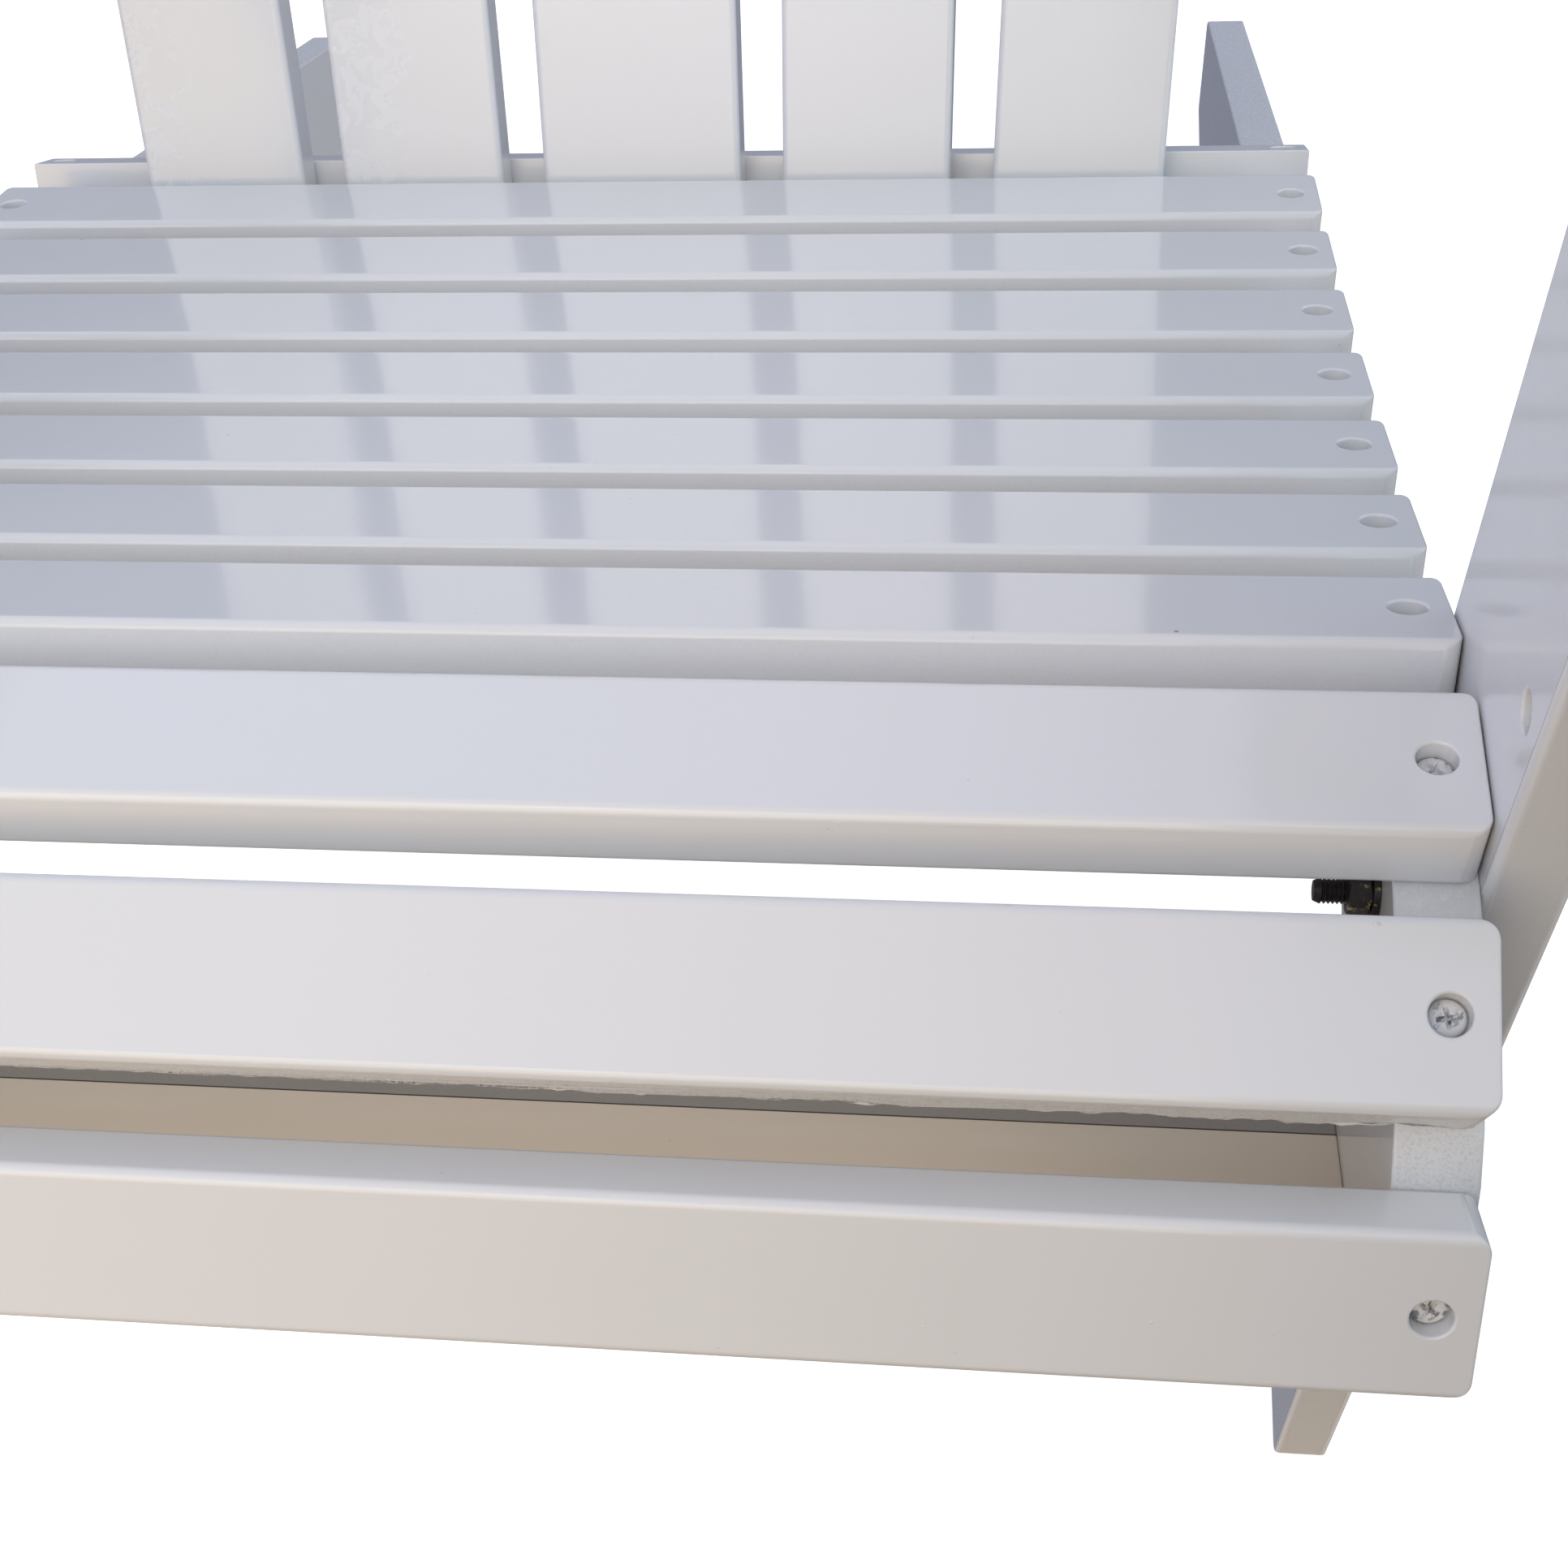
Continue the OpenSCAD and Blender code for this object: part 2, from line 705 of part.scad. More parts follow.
module arm_bracket(side) {
    color(WHITE)
        chair()
            difference() {
                translate([side * (seat_w / 2 + leg_t), bracket_y, arm_under])
                    rotate([90, 0, 0])
                        linear_extrude(bracket_t, center = true)
                            scale([side, 1, 1])
                                bracket_outline();
                at_bracket_screws(side)
                    screw_hole(bracket_shank);
                at_arm_bracket_screws(side)
                    screw_hole(arm_shank);
            }
}

// ---------- fastener groups ----------

module seat_slat_screws() {
    color(ZINC)
        chair()
            for (k = [1:SEAT_SLATS])
                at_slat_screws(k)
                    screw(seat_shank);
}

module nose_screws() {
    color(ZINC)
        chair()
            for (k = [FRONT_SLAT:APRON])
                at_slat_screws(k)
                    screw(seat_shank);
}

// Domed bolts: head outside the leg, thread through the nut inside the stringer.
module leg_bolts() {
    dome_r = (pow(washer_d / 2, 2) + pow(HEAD_RISE, 2)) / (2 * HEAD_RISE);
    grip = leg_t + stringer_t + washer_t + nut_t + bolt_proud;
    color(BLACK)
        chair()
            for (side = SIDES)
                at_bolts(side) {
                    translate([0, 0, leg_t - grip])
                        cylinder(h = grip, d = bolt_d, $fn = SMALL_FN);
                    translate([0, 0, leg_t])
                        intersection() {
                            translate([0, 0, HEAD_RISE - dome_r])
                                sphere(r = dome_r, $fn = ROUND_FN);
                            cylinder(h = 2 * HEAD_RISE, d = washer_d, $fn = ROUND_FN);
                        }
                }
}

module leg_bolt_washers() {
    color(BLACK)
        chair()
            for (side = SIDES)
                at_bolts(side)
                    translate([0, 0, -stringer_t - washer_t])
                        difference() {
                            cylinder(h = washer_t, d = washer_d, $fn = ROUND_FN);
                            translate([0, 0, -CUT])
                                cylinder(h = washer_t + 2 * CUT, d = bolt_d, $fn = SMALL_FN);
                        }
}

module leg_bolt_nuts() {
    color(BLACK)
        chair()
            for (side = SIDES)
                at_bolts(side)
                    translate([0, 0, -stringer_t - washer_t - nut_t])
                        difference() {
                            cylinder(h = nut_t, d = nut_af / cos(30), $fn = 6);
                            translate([0, 0, -CUT])
                                cylinder(h = nut_t + 2 * CUT, d = bolt_d, $fn = SMALL_FN);
                        }
}

module bracket_screws() {
    color(ZINC)
        chair()
            for (side = SIDES)
                at_bracket_screws(side)
                    screw(bracket_shank);
}

module stretcher_screws() {
    color(ZINC)
        chair()
            for (side = SIDES)
                at_stretcher_screws(side)
                    screw(stretcher_shank);
}

module rail_screws() {
    color(ZINC)
        chair()
            for (side = SIDES)
                at_rail_screws(side)
                    screw(rail_shank, RAIL_SINK);
}

module back_screws(s) {
    color(ZINC)
        chair()
            at_back_screws(s, BACK_SCREW_SPREAD)
                screw(back_shank);
}

module armrest_screws() {
    color(ZINC)
        chair()
            for (side = SIDES) {
                at_arm_leg_screws(side)
                    screw(arm_shank);
                at_arm_bracket_screws(side)
                    screw(arm_shank);
                at_arm_rail_ends(side)
                    screw(arm_rail_shank);
            }
}

stringer(-1);  // left_stringer
stringer(1);  // right_stringer
front_leg(-1);  // left_front_leg
front_leg(1);  // right_front_leg
front_stretcher();
seat_board(1);  // seat_slat_1
seat_board(2);  // seat_slat_2
seat_board(3);  // seat_slat_3
seat_board(4);  // seat_slat_4
seat_board(5);  // seat_slat_5
seat_board(6);  // seat_slat_6
seat_board(7);  // seat_slat_7
seat_board(FRONT_SLAT);  // front_slat
seat_board(NOSE_SLAT);  // nose_slat
seat_board(APRON);  // front_apron
lower_back_rail();
arm_rail();
top_batten();
back_slat(1);  // back_slat_1
back_slat(2);  // back_slat_2
back_slat(3);  // back_slat_3
back_slat(4);  // back_slat_4
back_slat(5);  // back_slat_5
armrest(-1);  // left_armrest
armrest(1);  // right_armrest
arm_bracket(-1);  // left_arm_bracket
arm_bracket(1);  // right_arm_bracket
seat_slat_screws();
nose_screws();
leg_bolts();
leg_bolt_washers();
leg_bolt_nuts();
bracket_screws();
stretcher_screws();
rail_screws();
back_screws(lower_screw_s);  // lower_back_screws
back_screws(arm_screw_s);  // arm_rail_screws
back_screws(batten_pos);  // batten_screws
armrest_screws();
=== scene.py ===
"""Looks of a gloss-painted adirondack chair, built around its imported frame.

Every board is eased, scraped and brushed with enamel, and every screw, bolt, nut and washer is turned
afresh at the place of the frame's own fastener. Lengths are in metres.
"""

from __future__ import annotations

import json
import logging
import math
from collections.abc import Callable, Iterable
from dataclasses import dataclass, field
from enum import Enum

import bmesh
import bpy
from mathutils import Matrix, Vector, noise

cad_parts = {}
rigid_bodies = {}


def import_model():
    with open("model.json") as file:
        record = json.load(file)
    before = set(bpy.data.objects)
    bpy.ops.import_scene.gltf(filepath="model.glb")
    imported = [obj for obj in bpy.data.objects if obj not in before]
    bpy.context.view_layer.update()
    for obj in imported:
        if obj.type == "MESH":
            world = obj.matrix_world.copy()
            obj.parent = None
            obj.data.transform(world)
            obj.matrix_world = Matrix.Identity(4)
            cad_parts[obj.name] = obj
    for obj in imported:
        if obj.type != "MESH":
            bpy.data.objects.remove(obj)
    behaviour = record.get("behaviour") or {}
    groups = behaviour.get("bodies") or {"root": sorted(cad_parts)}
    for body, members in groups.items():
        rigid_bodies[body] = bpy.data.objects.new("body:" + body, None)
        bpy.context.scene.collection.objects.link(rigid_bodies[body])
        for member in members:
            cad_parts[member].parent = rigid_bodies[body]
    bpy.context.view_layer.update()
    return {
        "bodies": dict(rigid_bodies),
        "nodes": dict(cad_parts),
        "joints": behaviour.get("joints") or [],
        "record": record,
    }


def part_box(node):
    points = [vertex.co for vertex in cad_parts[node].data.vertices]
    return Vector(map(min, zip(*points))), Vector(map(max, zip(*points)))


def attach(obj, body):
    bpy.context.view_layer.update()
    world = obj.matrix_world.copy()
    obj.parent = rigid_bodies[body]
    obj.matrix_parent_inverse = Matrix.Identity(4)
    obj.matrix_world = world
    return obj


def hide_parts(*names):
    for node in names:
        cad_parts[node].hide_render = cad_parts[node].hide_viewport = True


LOG = logging.getLogger("chair")
MM = 0.001
BODY = "root"
SEAT_HIGH = 0.41
MERGE = 0.002 * MM  # points of a new mesh that are nearer than this are one
NODE_MERGE = 0.004 * MM  # the same for a frame node's loose triangles
ON_PLANE = 1e-7  # points this near a cutting plane lie on it
SIDEWAYS = 0.2  # two unit directions with a smaller product than this are nearly square to each other
END_ON = 0.9  # and with a larger product than this they point nearly the same way
FLAT_ON = 0.9995  # a face that is this square to a board's axis is one of its flats

BMesh = bmesh.types.BMesh
Points = list[bmesh.types.BMVert]
Piece = bpy.types.Object
Mesh = bpy.types.Mesh
Material = bpy.types.Material
Colour = tuple[float, float, float, float]
Place = tuple[float, float, float]
WHITE: Colour = (1.0, 1.0, 1.0, 1.0)
Areas = dict[tuple[float, ...], float]


class Slot(Enum):
    """Material slots of the record."""

    PAINT = "white_paint"
    ZINC = "zinc"
    BLACK = "black_steel"


class Side(Enum):
    """Side of the chair, as its frame nodes spell it."""

    LEFT = "left"
    RIGHT = "right"


# ---------- shader maths ----------


class Expr:
    """A node's output socket that Python's operators work on."""

    def __init__(self, graph: Graph, socket: bpy.types.NodeSocket) -> None:
        """Keeps the socket and the graph it belongs to."""
        self.graph = graph
        self.socket = socket

    def __add__(self, other: Value) -> Expr:
        """Sum of two values."""
        return self.graph.maths("ADD", self, other)

    def __radd__(self, other: Value) -> Expr:
        """Sum of two values."""
        return self.graph.maths("ADD", other, self)

    def __sub__(self, other: Value) -> Expr:
        """Difference of two values."""
        return self.graph.maths("SUBTRACT", self, other)

    def __rsub__(self, other: Value) -> Expr:
        """Difference of two values."""
        return self.graph.maths("SUBTRACT", other, self)

    def __mul__(self, other: Value) -> Expr:
        """Product of two values."""
        return self.graph.maths("MULTIPLY", self, other)

    def __rmul__(self, other: Value) -> Expr:
        """Product of two values."""
        return self.graph.maths("MULTIPLY", other, self)

    def above(self, low: float, high: float) -> Expr:
        """Smooth step from 0 at low to 1 at high.

        Args:
            low: Value at which the step starts.
            high: Value at which the step ends; lower than low for a falling step.

        Returns:
            The step as a value from 0 to 1.
        """
        rising = high > low
        settings = {"interpolation_type": "SMOOTHSTEP", "clamp": True}
        ends = (low, high, 0.0, 1.0) if rising else (high, low, 1.0, 0.0)
        inputs = {0: self, 1: ends[0], 2: ends[1], 3: ends[2], 4: ends[3]}
        return self.graph.node("ShaderNodeMapRange", settings, inputs)


Value = Expr | float


class Graph:
    """A node tree, with one method that adds any node."""

    def __init__(self, tree: bpy.types.NodeTree) -> None:
        """Empties the tree and keeps it."""
        self.tree = tree
        tree.nodes.clear()

    def node(
        self, kind: str, settings: dict | None = None, inputs: dict | None = None, output: int | str = 0
    ) -> Expr:
        """Adds a node.

        Args:
            kind: The node's type.
            settings: Attributes to set first.
            inputs: Values or expressions by socket name or number.
            output: Name or number of the output that is wanted.

        Returns:
            The output as an expression.
        """
        made = self.tree.nodes.new(kind)
        for name, value in (settings or {}).items():
            setattr(made, name, value)
        for name, value in (inputs or {}).items():
            if isinstance(value, Expr):
                self.tree.links.new(value.socket, made.inputs[name])
            else:
                made.inputs[name].default_value = value
        return Expr(self, made.outputs[output]) if len(made.outputs) else Expr(self, made.inputs[0])

    def maths(self, operation: str, a: Value, b: Value = 0.0) -> Expr:
        """One Math node on two values."""
        return self.node("ShaderNodeMath", {"operation": operation}, {0: a, 1: b})

    def vector(self, operation: str, a: Expr, b: Expr | Place) -> Expr:
        """One Vector Math node on two vectors."""
        return self.node("ShaderNodeVectorMath", {"operation": operation}, {0: a, 1: b})

    def grained(self, place: Expr, along: float, across: float) -> Expr:
        """A place scaled by one factor along the grain and by another across it."""
        return self.vector("MULTIPLY", place, (along, across, across))

    def object_place(self) -> Expr:
        """A point in the piece's own coordinates, which are the chair's."""
        return self.node("ShaderNodeTexCoord", {}, output="Object")

    def part(self, vector: Expr, axis: str) -> Expr:
        """X, Y or Z of a vector."""
        return self.node("ShaderNodeSeparateXYZ", {}, {0: vector}, output=axis)

    def mix(self, factor: Value, a: Expr | Colour, b: Expr | Colour) -> Expr:
        """Colour between a and b."""
        settings = {"data_type": "RGBA", "clamp_factor": True}
        return self.node("ShaderNodeMix", settings, {0: factor, 6: a, 7: b}, output=2)

    def attribute(self, name: str, output: str) -> Expr:
        """An attribute of the piece's own mesh."""
        return self.node("ShaderNodeAttribute", {"attribute_name": name}, output=output)

    def noise(
        self, place: Expr, scale: float, detail: float = 2.0, rough: float = 0.5, twist: float = 0.0
    ) -> Expr:
        """Soft noise from 0 to 1.

        Args:
            place: Where the pattern is read.
            scale: Features to the metre.
            detail: Octaves.
            rough: Weight of the finer octaves.
            twist: Distortion of the pattern.

        Returns:
            The noise.
        """
        inputs = {"Vector": place, "Scale": scale, "Detail": detail}
        return self.node("ShaderNodeTexNoise", {}, {**inputs, "Roughness": rough, "Distortion": twist})

    def specks(self, place: Expr, scale: float, size: float, core: float = 0.35) -> Expr:
        """Round specks scattered at random.

        Args:
            place: Where the pattern is read.
            scale: Cells to the metre.
            size: Radius of a speck as a share of its cell.
            core: Radius of its full middle as a share of its own.

        Returns:
            1 in a speck's middle, falling to 0 at its edge.
        """
        inputs = {"Vector": place, "Scale": scale, "Randomness": 1.0}
        distance = self.node("ShaderNodeTexVoronoi", {"feature": "F1"}, inputs, output="Distance")
        return distance.above(size, size * core)

    def bump(self, height: Expr, depth: float, under: Expr | None = None) -> Expr:
        """Normal from a height.

        Args:
            height: Height from 0 to 1.
            depth: What a height of 1 stands for.
            under: Normal that this one is laid over.

        Returns:
            The normal.
        """
        inputs = {"Height": height, "Distance": depth, "Strength": 1.0}
        if under is not None:
            inputs["Normal"] = under
        return self.node("ShaderNodeBump", {}, inputs)


# ---------- finishes ----------


def new_material(name: str) -> tuple[Material, Graph]:
    """Adds an empty node material.

    Args:
        name: Its name.

    Returns:
        The material and its graph.
    """
    material = bpy.data.materials.new(name)
    material.use_nodes = True
    return material, Graph(material.node_tree)


def surface(graph: Graph, inputs: dict, constants: dict) -> None:
    """Ends a graph in a Principled shader.

    Args:
        graph: The material's graph.
        inputs: What changes over the surface, by socket name.
        constants: What is the same all over, by socket name.
    """
    shader = graph.node("ShaderNodeBsdfPrincipled", {}, {**constants, **inputs})
    graph.node("ShaderNodeOutputMaterial", {}, {"Surface": shader})


@dataclass(frozen=True)
class Enamel:
    """White gloss paint, brushed by hand on sanded softwood.

    The pattern reads the board's own coordinates: X along the grain, Y across the face, Z through it.
    Only the band of dapples reads the chair's X.
    """

    name: str
    colour: Colour = (0.80, 0.80, 0.80, 1.0)
    gloss_rough: float = 0.10
    ripple: float = 0.045 * MM
    brush: float = 0.010 * MM
    nib: float = 0.10 * MM
    grit: float = 0.20 * MM
    torn: float = 0.08
    dapple: float = 0.0
    dapple_x: float = 0.0
    dapple_half: float = 34.0 * MM
    dapple_core: float = 12.0 * MM
    dapple_wander: float = 30.0 * MM
    dapple_tone: Colour = (0.93, 0.93, 0.93, 1.0)
    # painted shade: dark grey for the stretcher's rear strip, standing in for the nose slat's shadow on
    # it
    painted_shade_tone: Colour = (0.30, 0.29, 0.28, 1.0)
    line_tone: Colour = (0.05, 0.04, 0.03, 1.0)
    dust_tone: Colour = (0.22, 0.19, 0.16, 1.0)
    wood_tone: Colour = (0.62, 0.56, 0.47, 1.0)

    def make(self) -> Material:
        """Builds the material.

        Returns:
            The finished paint.
        """
        material, g = new_material(self.name)
        place = g.attribute("board", "Vector")
        sawn, eased, coarse_and_shaded = (g.attribute(name, "Fac") for name in ("sawn", "eased", "coarse_and_shaded"))

        streaks = g.noise(g.grained(place, 6.0, 700.0), 1.0, 3.0, 0.6)
        strands = g.noise(g.grained(place, 14.0, 2600.0), 1.0, 2.0, 0.6)
        kerf = g.noise(g.grained(place, 900.0, 420.0), 1.0, 4.0, 0.7)
        wave = g.noise(place, 26.0, 1.5, 0.45)
        peel = g.noise(place, 330.0, 2.0, 0.5)
        pores = g.noise(place, 1500.0, 3.0, 0.7)
        nibs = g.specks(place, 120.0, 0.055) * g.noise(place, 18.0).above(0.48, 0.60)
        dust = g.specks(place, 26.0, 0.022)
        dappled = self._dappled(g, place, wave)
        scraped = eased * self._chips(g, place)

        tone = g.mix(g.noise(place, 7.0, 3.0, 0.55), self.colour, self._shade(0.965, 0.968, 0.972))
        tone = g.mix(dappled * (0.9 * self.dapple), tone, self.dapple_tone)
        tone = g.mix(eased * 0.25 * streaks, tone, self._shade(0.90, 0.89, 0.87))
        tone = g.mix(sawn * pores.above(0.46, 0.66) * 0.50, tone, self._shade(0.66, 0.63, 0.58))
        # painted shade: the stretcher's rear strip goes dark grey where the nose slat above shades it, on
        # top of its sawn roughness
        tone = g.mix(coarse_and_shaded * (0.72 + 0.28 * pores), tone, self.painted_shade_tone)
        tone = g.mix(coarse_and_shaded.above(0.02, 0.3) * coarse_and_shaded.above(0.98, 0.6), tone, self.line_tone)
        tone = g.mix(dust * 0.75, tone, self.dust_tone)
        tone = g.mix(scraped * 0.6, tone, self.wood_tone)

        rough = (
            self.gloss_rough
            + peel * 0.03
            + streaks * 0.03
            + dappled * self.dapple
            + eased * 0.05
            + sawn * 0.32
            + scraped * 0.30
            + coarse_and_shaded * 0.45
        )
        low = g.bump(wave, self.ripple * 4.5)
        fine = g.bump(peel * 0.35 + dappled * (2.2 * self.dapple), self.ripple * 0.9, low)
        brushed = g.bump(streaks + strands * 0.4, self.brush, fine)
        nibbed = g.bump(nibs, self.nib, brushed)
        normal = g.bump(sawn * (kerf * 0.6 + pores) + scraped * pores * 1.5, self.grit, nibbed)
        constants = {"IOR": 1.5, "Coat Weight": 0.35, "Coat Roughness": 0.04, "Coat IOR": 1.45}
        surface(g, {"Base Color": tone, "Roughness": rough, "Normal": normal}, constants)
        return material

    def _dappled(self, g: Graph, place: Expr, wave: Expr) -> Expr:
        """Blots of fresher paint in an upright band of the chair.

        Args:
            g: The material's graph.
            place: The board's own coordinates.
            wave: A slow noise, which makes the band wander.

        Returns:
            1 in a blot, 0 outside.
        """
        blots = g.noise(place, 95.0, 4.0, 0.62, 0.6).above(0.46, 0.60)
        aside = g.part(g.object_place(), "X") - self.dapple_x + (wave - 0.5) * self.dapple_wander
        return blots * g.maths("ABSOLUTE", aside).above(self.dapple_half, self.dapple_core)

    def _chips(self, g: Graph, place: Expr) -> Expr:
        """Chips and scrapes, gathered in patches.

        Args:
            g: The material's graph.
            place: The board's own coordinates.

        Returns:
            1 in a chip, 0 outside.
        """
        chips = g.noise(place, 210.0, 4.0, 0.7).above(0.80 - self.torn, 0.84 - self.torn)
        return chips * g.noise(place, 3.2, 2.0).above(0.40, 0.66)

    def _shade(self, red: float, green: float, blue: float) -> Colour:
        """The paint's colour, dimmed channel by channel."""
        r, g, b, _ = self.colour
        return (r * red, g * green, b * blue, 1.0)


@dataclass(frozen=True)
class ZincPlate:
    """Bright zinc plating, smeared with the paint that was brushed over the heads."""

    name: str = "smeared_zinc"
    metal: Colour = (0.60, 0.62, 0.66, 1.0)
    dull: Colour = (0.30, 0.31, 0.34, 1.0)
    paint: Colour = (0.76, 0.76, 0.77, 1.0)
    smear: float = 0.57
    relief: float = 0.09 * MM

    def make(self) -> Material:
        """Builds the material.

        Returns:
            The plating.
        """
        material, g = new_material(self.name)
        place = g.object_place()
        blot = g.noise(place, 330.0, 4.0, 0.6, 0.5)
        grain = g.noise(place, 2600.0, 2.0)
        smeared = blot.above(self.smear + 0.05, self.smear - 0.03)
        tarnish = g.noise(place, 900.0, 3.0, 0.65)
        plate = g.mix(tarnish, self.metal, self.dull)
        tone = g.mix(smeared, plate, self.paint)
        rough = 0.26 + grain * 0.12 + smeared * 0.14
        normal = g.bump(smeared + grain * 0.25, self.relief)
        inputs = {"Base Color": tone, "Metallic": 1.0 - smeared, "Roughness": rough, "Normal": normal}
        surface(g, inputs, {"IOR": 1.5})
        return material


@dataclass(frozen=True)
class BlackSteel:
    """Oiled black steel, rubbed to a brassy sheen here and there."""

    name: str = "black_oxide"
    dark: Colour = (0.022, 0.018, 0.018, 1.0)
    grey: Colour = (0.055, 0.052, 0.050, 1.0)
    brass: Colour = (0.62, 0.50, 0.22, 1.0)
    worn: float = 0.64
    relief: float = 0.04 * MM

    def make(self) -> Material:
        """Builds the material.

        Returns:
            The blackened steel.
        """
        material, g = new_material(self.name)
        place = g.object_place()
        cloud = g.noise(place, 260.0, 3.0, 0.6)
        grit = g.noise(place, 2200.0, 3.0, 0.6)
        rubbed = g.noise(place, 210.0, 5.0, 0.72).above(self.worn, self.worn + 0.05)
        tone = g.mix(cloud, self.dark, self.grey)
        tone = g.mix(rubbed * grit.above(0.35, 0.6), tone, self.brass)
        rough = 0.34 + grit * 0.22 - rubbed * 0.08
        metallic = 0.55 + rubbed * 0.40
        normal = g.bump(grit + cloud * 0.6, self.relief)
        inputs = {"Base Color": tone, "Metallic": metallic, "Roughness": rough, "Normal": normal}
        surface(g, inputs, {"IOR": 1.6})
        return material


# ---------- mesh work ----------


def as_mesh(name: str, bm: BMesh) -> Mesh:
    """Turns a bmesh into a mesh.

    Args:
        name: Name of the mesh.
        bm: The bmesh, which is freed.

    Returns:
        The mesh.
    """
    mesh = bpy.data.meshes.new(name)
    bm.to_mesh(mesh)
    bm.free()
    return mesh


def fresh_object(name: str, bm: BMesh) -> Piece:
    """Turns a bmesh into a linked object at the origin.

    Args:
        name: Name of the piece.
        bm: The mesh, which is freed.

    Returns:
        The object.
    """
    made = bpy.data.objects.new(name, as_mesh(name, bm))
    bpy.context.scene.collection.objects.link(made)
    return made


def soften(made: Piece, sharp: float = 40.0) -> None:
    """Shades a piece smoothly, with flat faces kept flat.

    Args:
        made: The piece.
        sharp: Angle in degrees past which an edge stays sharp.
    """
    made.data.polygons.foreach_set("use_smooth", [True] * len(made.data.polygons))
    made.data.set_sharp_from_angle(angle=math.radians(sharp))
    weighted = made.modifiers.new("even_normals", "WEIGHTED_NORMAL")
    weighted.mode = "FACE_AREA"
    weighted.keep_sharp = True


def dress(made: Piece, material: Material, slot: Slot, nodes: Iterable[str]) -> None:
    """Gives a finished piece its material and its place on the frame.

    Args:
        made: The piece.
        material: Its finish.
        slot: The record's slot for its finish; not used.
        nodes: Frame nodes that it stands for.
    """
    made.data.materials.clear()
    made.data.materials.append(material)
    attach(made, BODY)
    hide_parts(*nodes)


def welded(node: Piece, flat: float = 0.6) -> BMesh:
    """A merged copy of a frame node's mesh, with its flat faces whole again.

    Args:
        node: The frame node.
        flat: Angle in degrees within which neighbouring faces are one.

    Returns:
        The copy.
    """
    bm = bmesh.new()
    bm.from_mesh(node.data)
    bmesh.ops.remove_doubles(bm, verts=bm.verts, dist=NODE_MERGE)
    bmesh.ops.dissolve_limit(
        bm,
        angle_limit=math.radians(flat),
        use_dissolve_boundaries=False,
        verts=bm.verts,
        edges=bm.edges,
    )
    return bm


def facing_areas(faces: Iterable[bmesh.types.BMFace], toward: Vector, digits: int) -> Areas:
    """Adds up the areas of the faces that look the same way or the opposite way.

    Args:
        faces: The faces.
        toward: The half of space that every direction is turned into.
        digits: Decimals by which directions are told apart.

    Returns:
        Area by direction.
    """
    areas: Areas = {}
    for face in faces:
        normal = face.normal if face.normal.dot(toward) > 0 else -face.normal
        key = tuple(round(c, digits) for c in normal)
        areas[key] = areas.get(key, 0.0) + face.calc_area()
    return areas


@dataclass(frozen=True)
class Axes:
    """A board's own directions: along the grain, across the face and out of the face."""

    along: Vector
    across: Vector
    out: Vector
    centre: Vector

    @staticmethod
    def of(bm: BMesh) -> Axes:
        """Finds them from the board's two widest flat directions.

        Args:
            bm: The board.

        Returns:
            Its axes.
        """
        areas = facing_areas(bm.faces, Vector((0.9, 0.31, 0.29)), digits=2)
        ranked = sorted(areas, key=lambda key: -areas[key])
        out = Vector(ranked[0]).normalized()
        side = next(Vector(key) for key in ranked[1:] if abs(Vector(key).dot(out)) < SIDEWAYS)
        along = out.cross(side).normalized()
        points = [v.co for v in bm.verts]
        centre = sum(points, Vector()) / len(points)
        return Axes(along, along.cross(out).normalized(), out, centre)

    def local(self, point: Vector) -> Vector:
        """A point in the board's own coordinates."""
        d = point - self.centre
        return Vector((d.dot(self.along), d.dot(self.across), d.dot(self.out)))


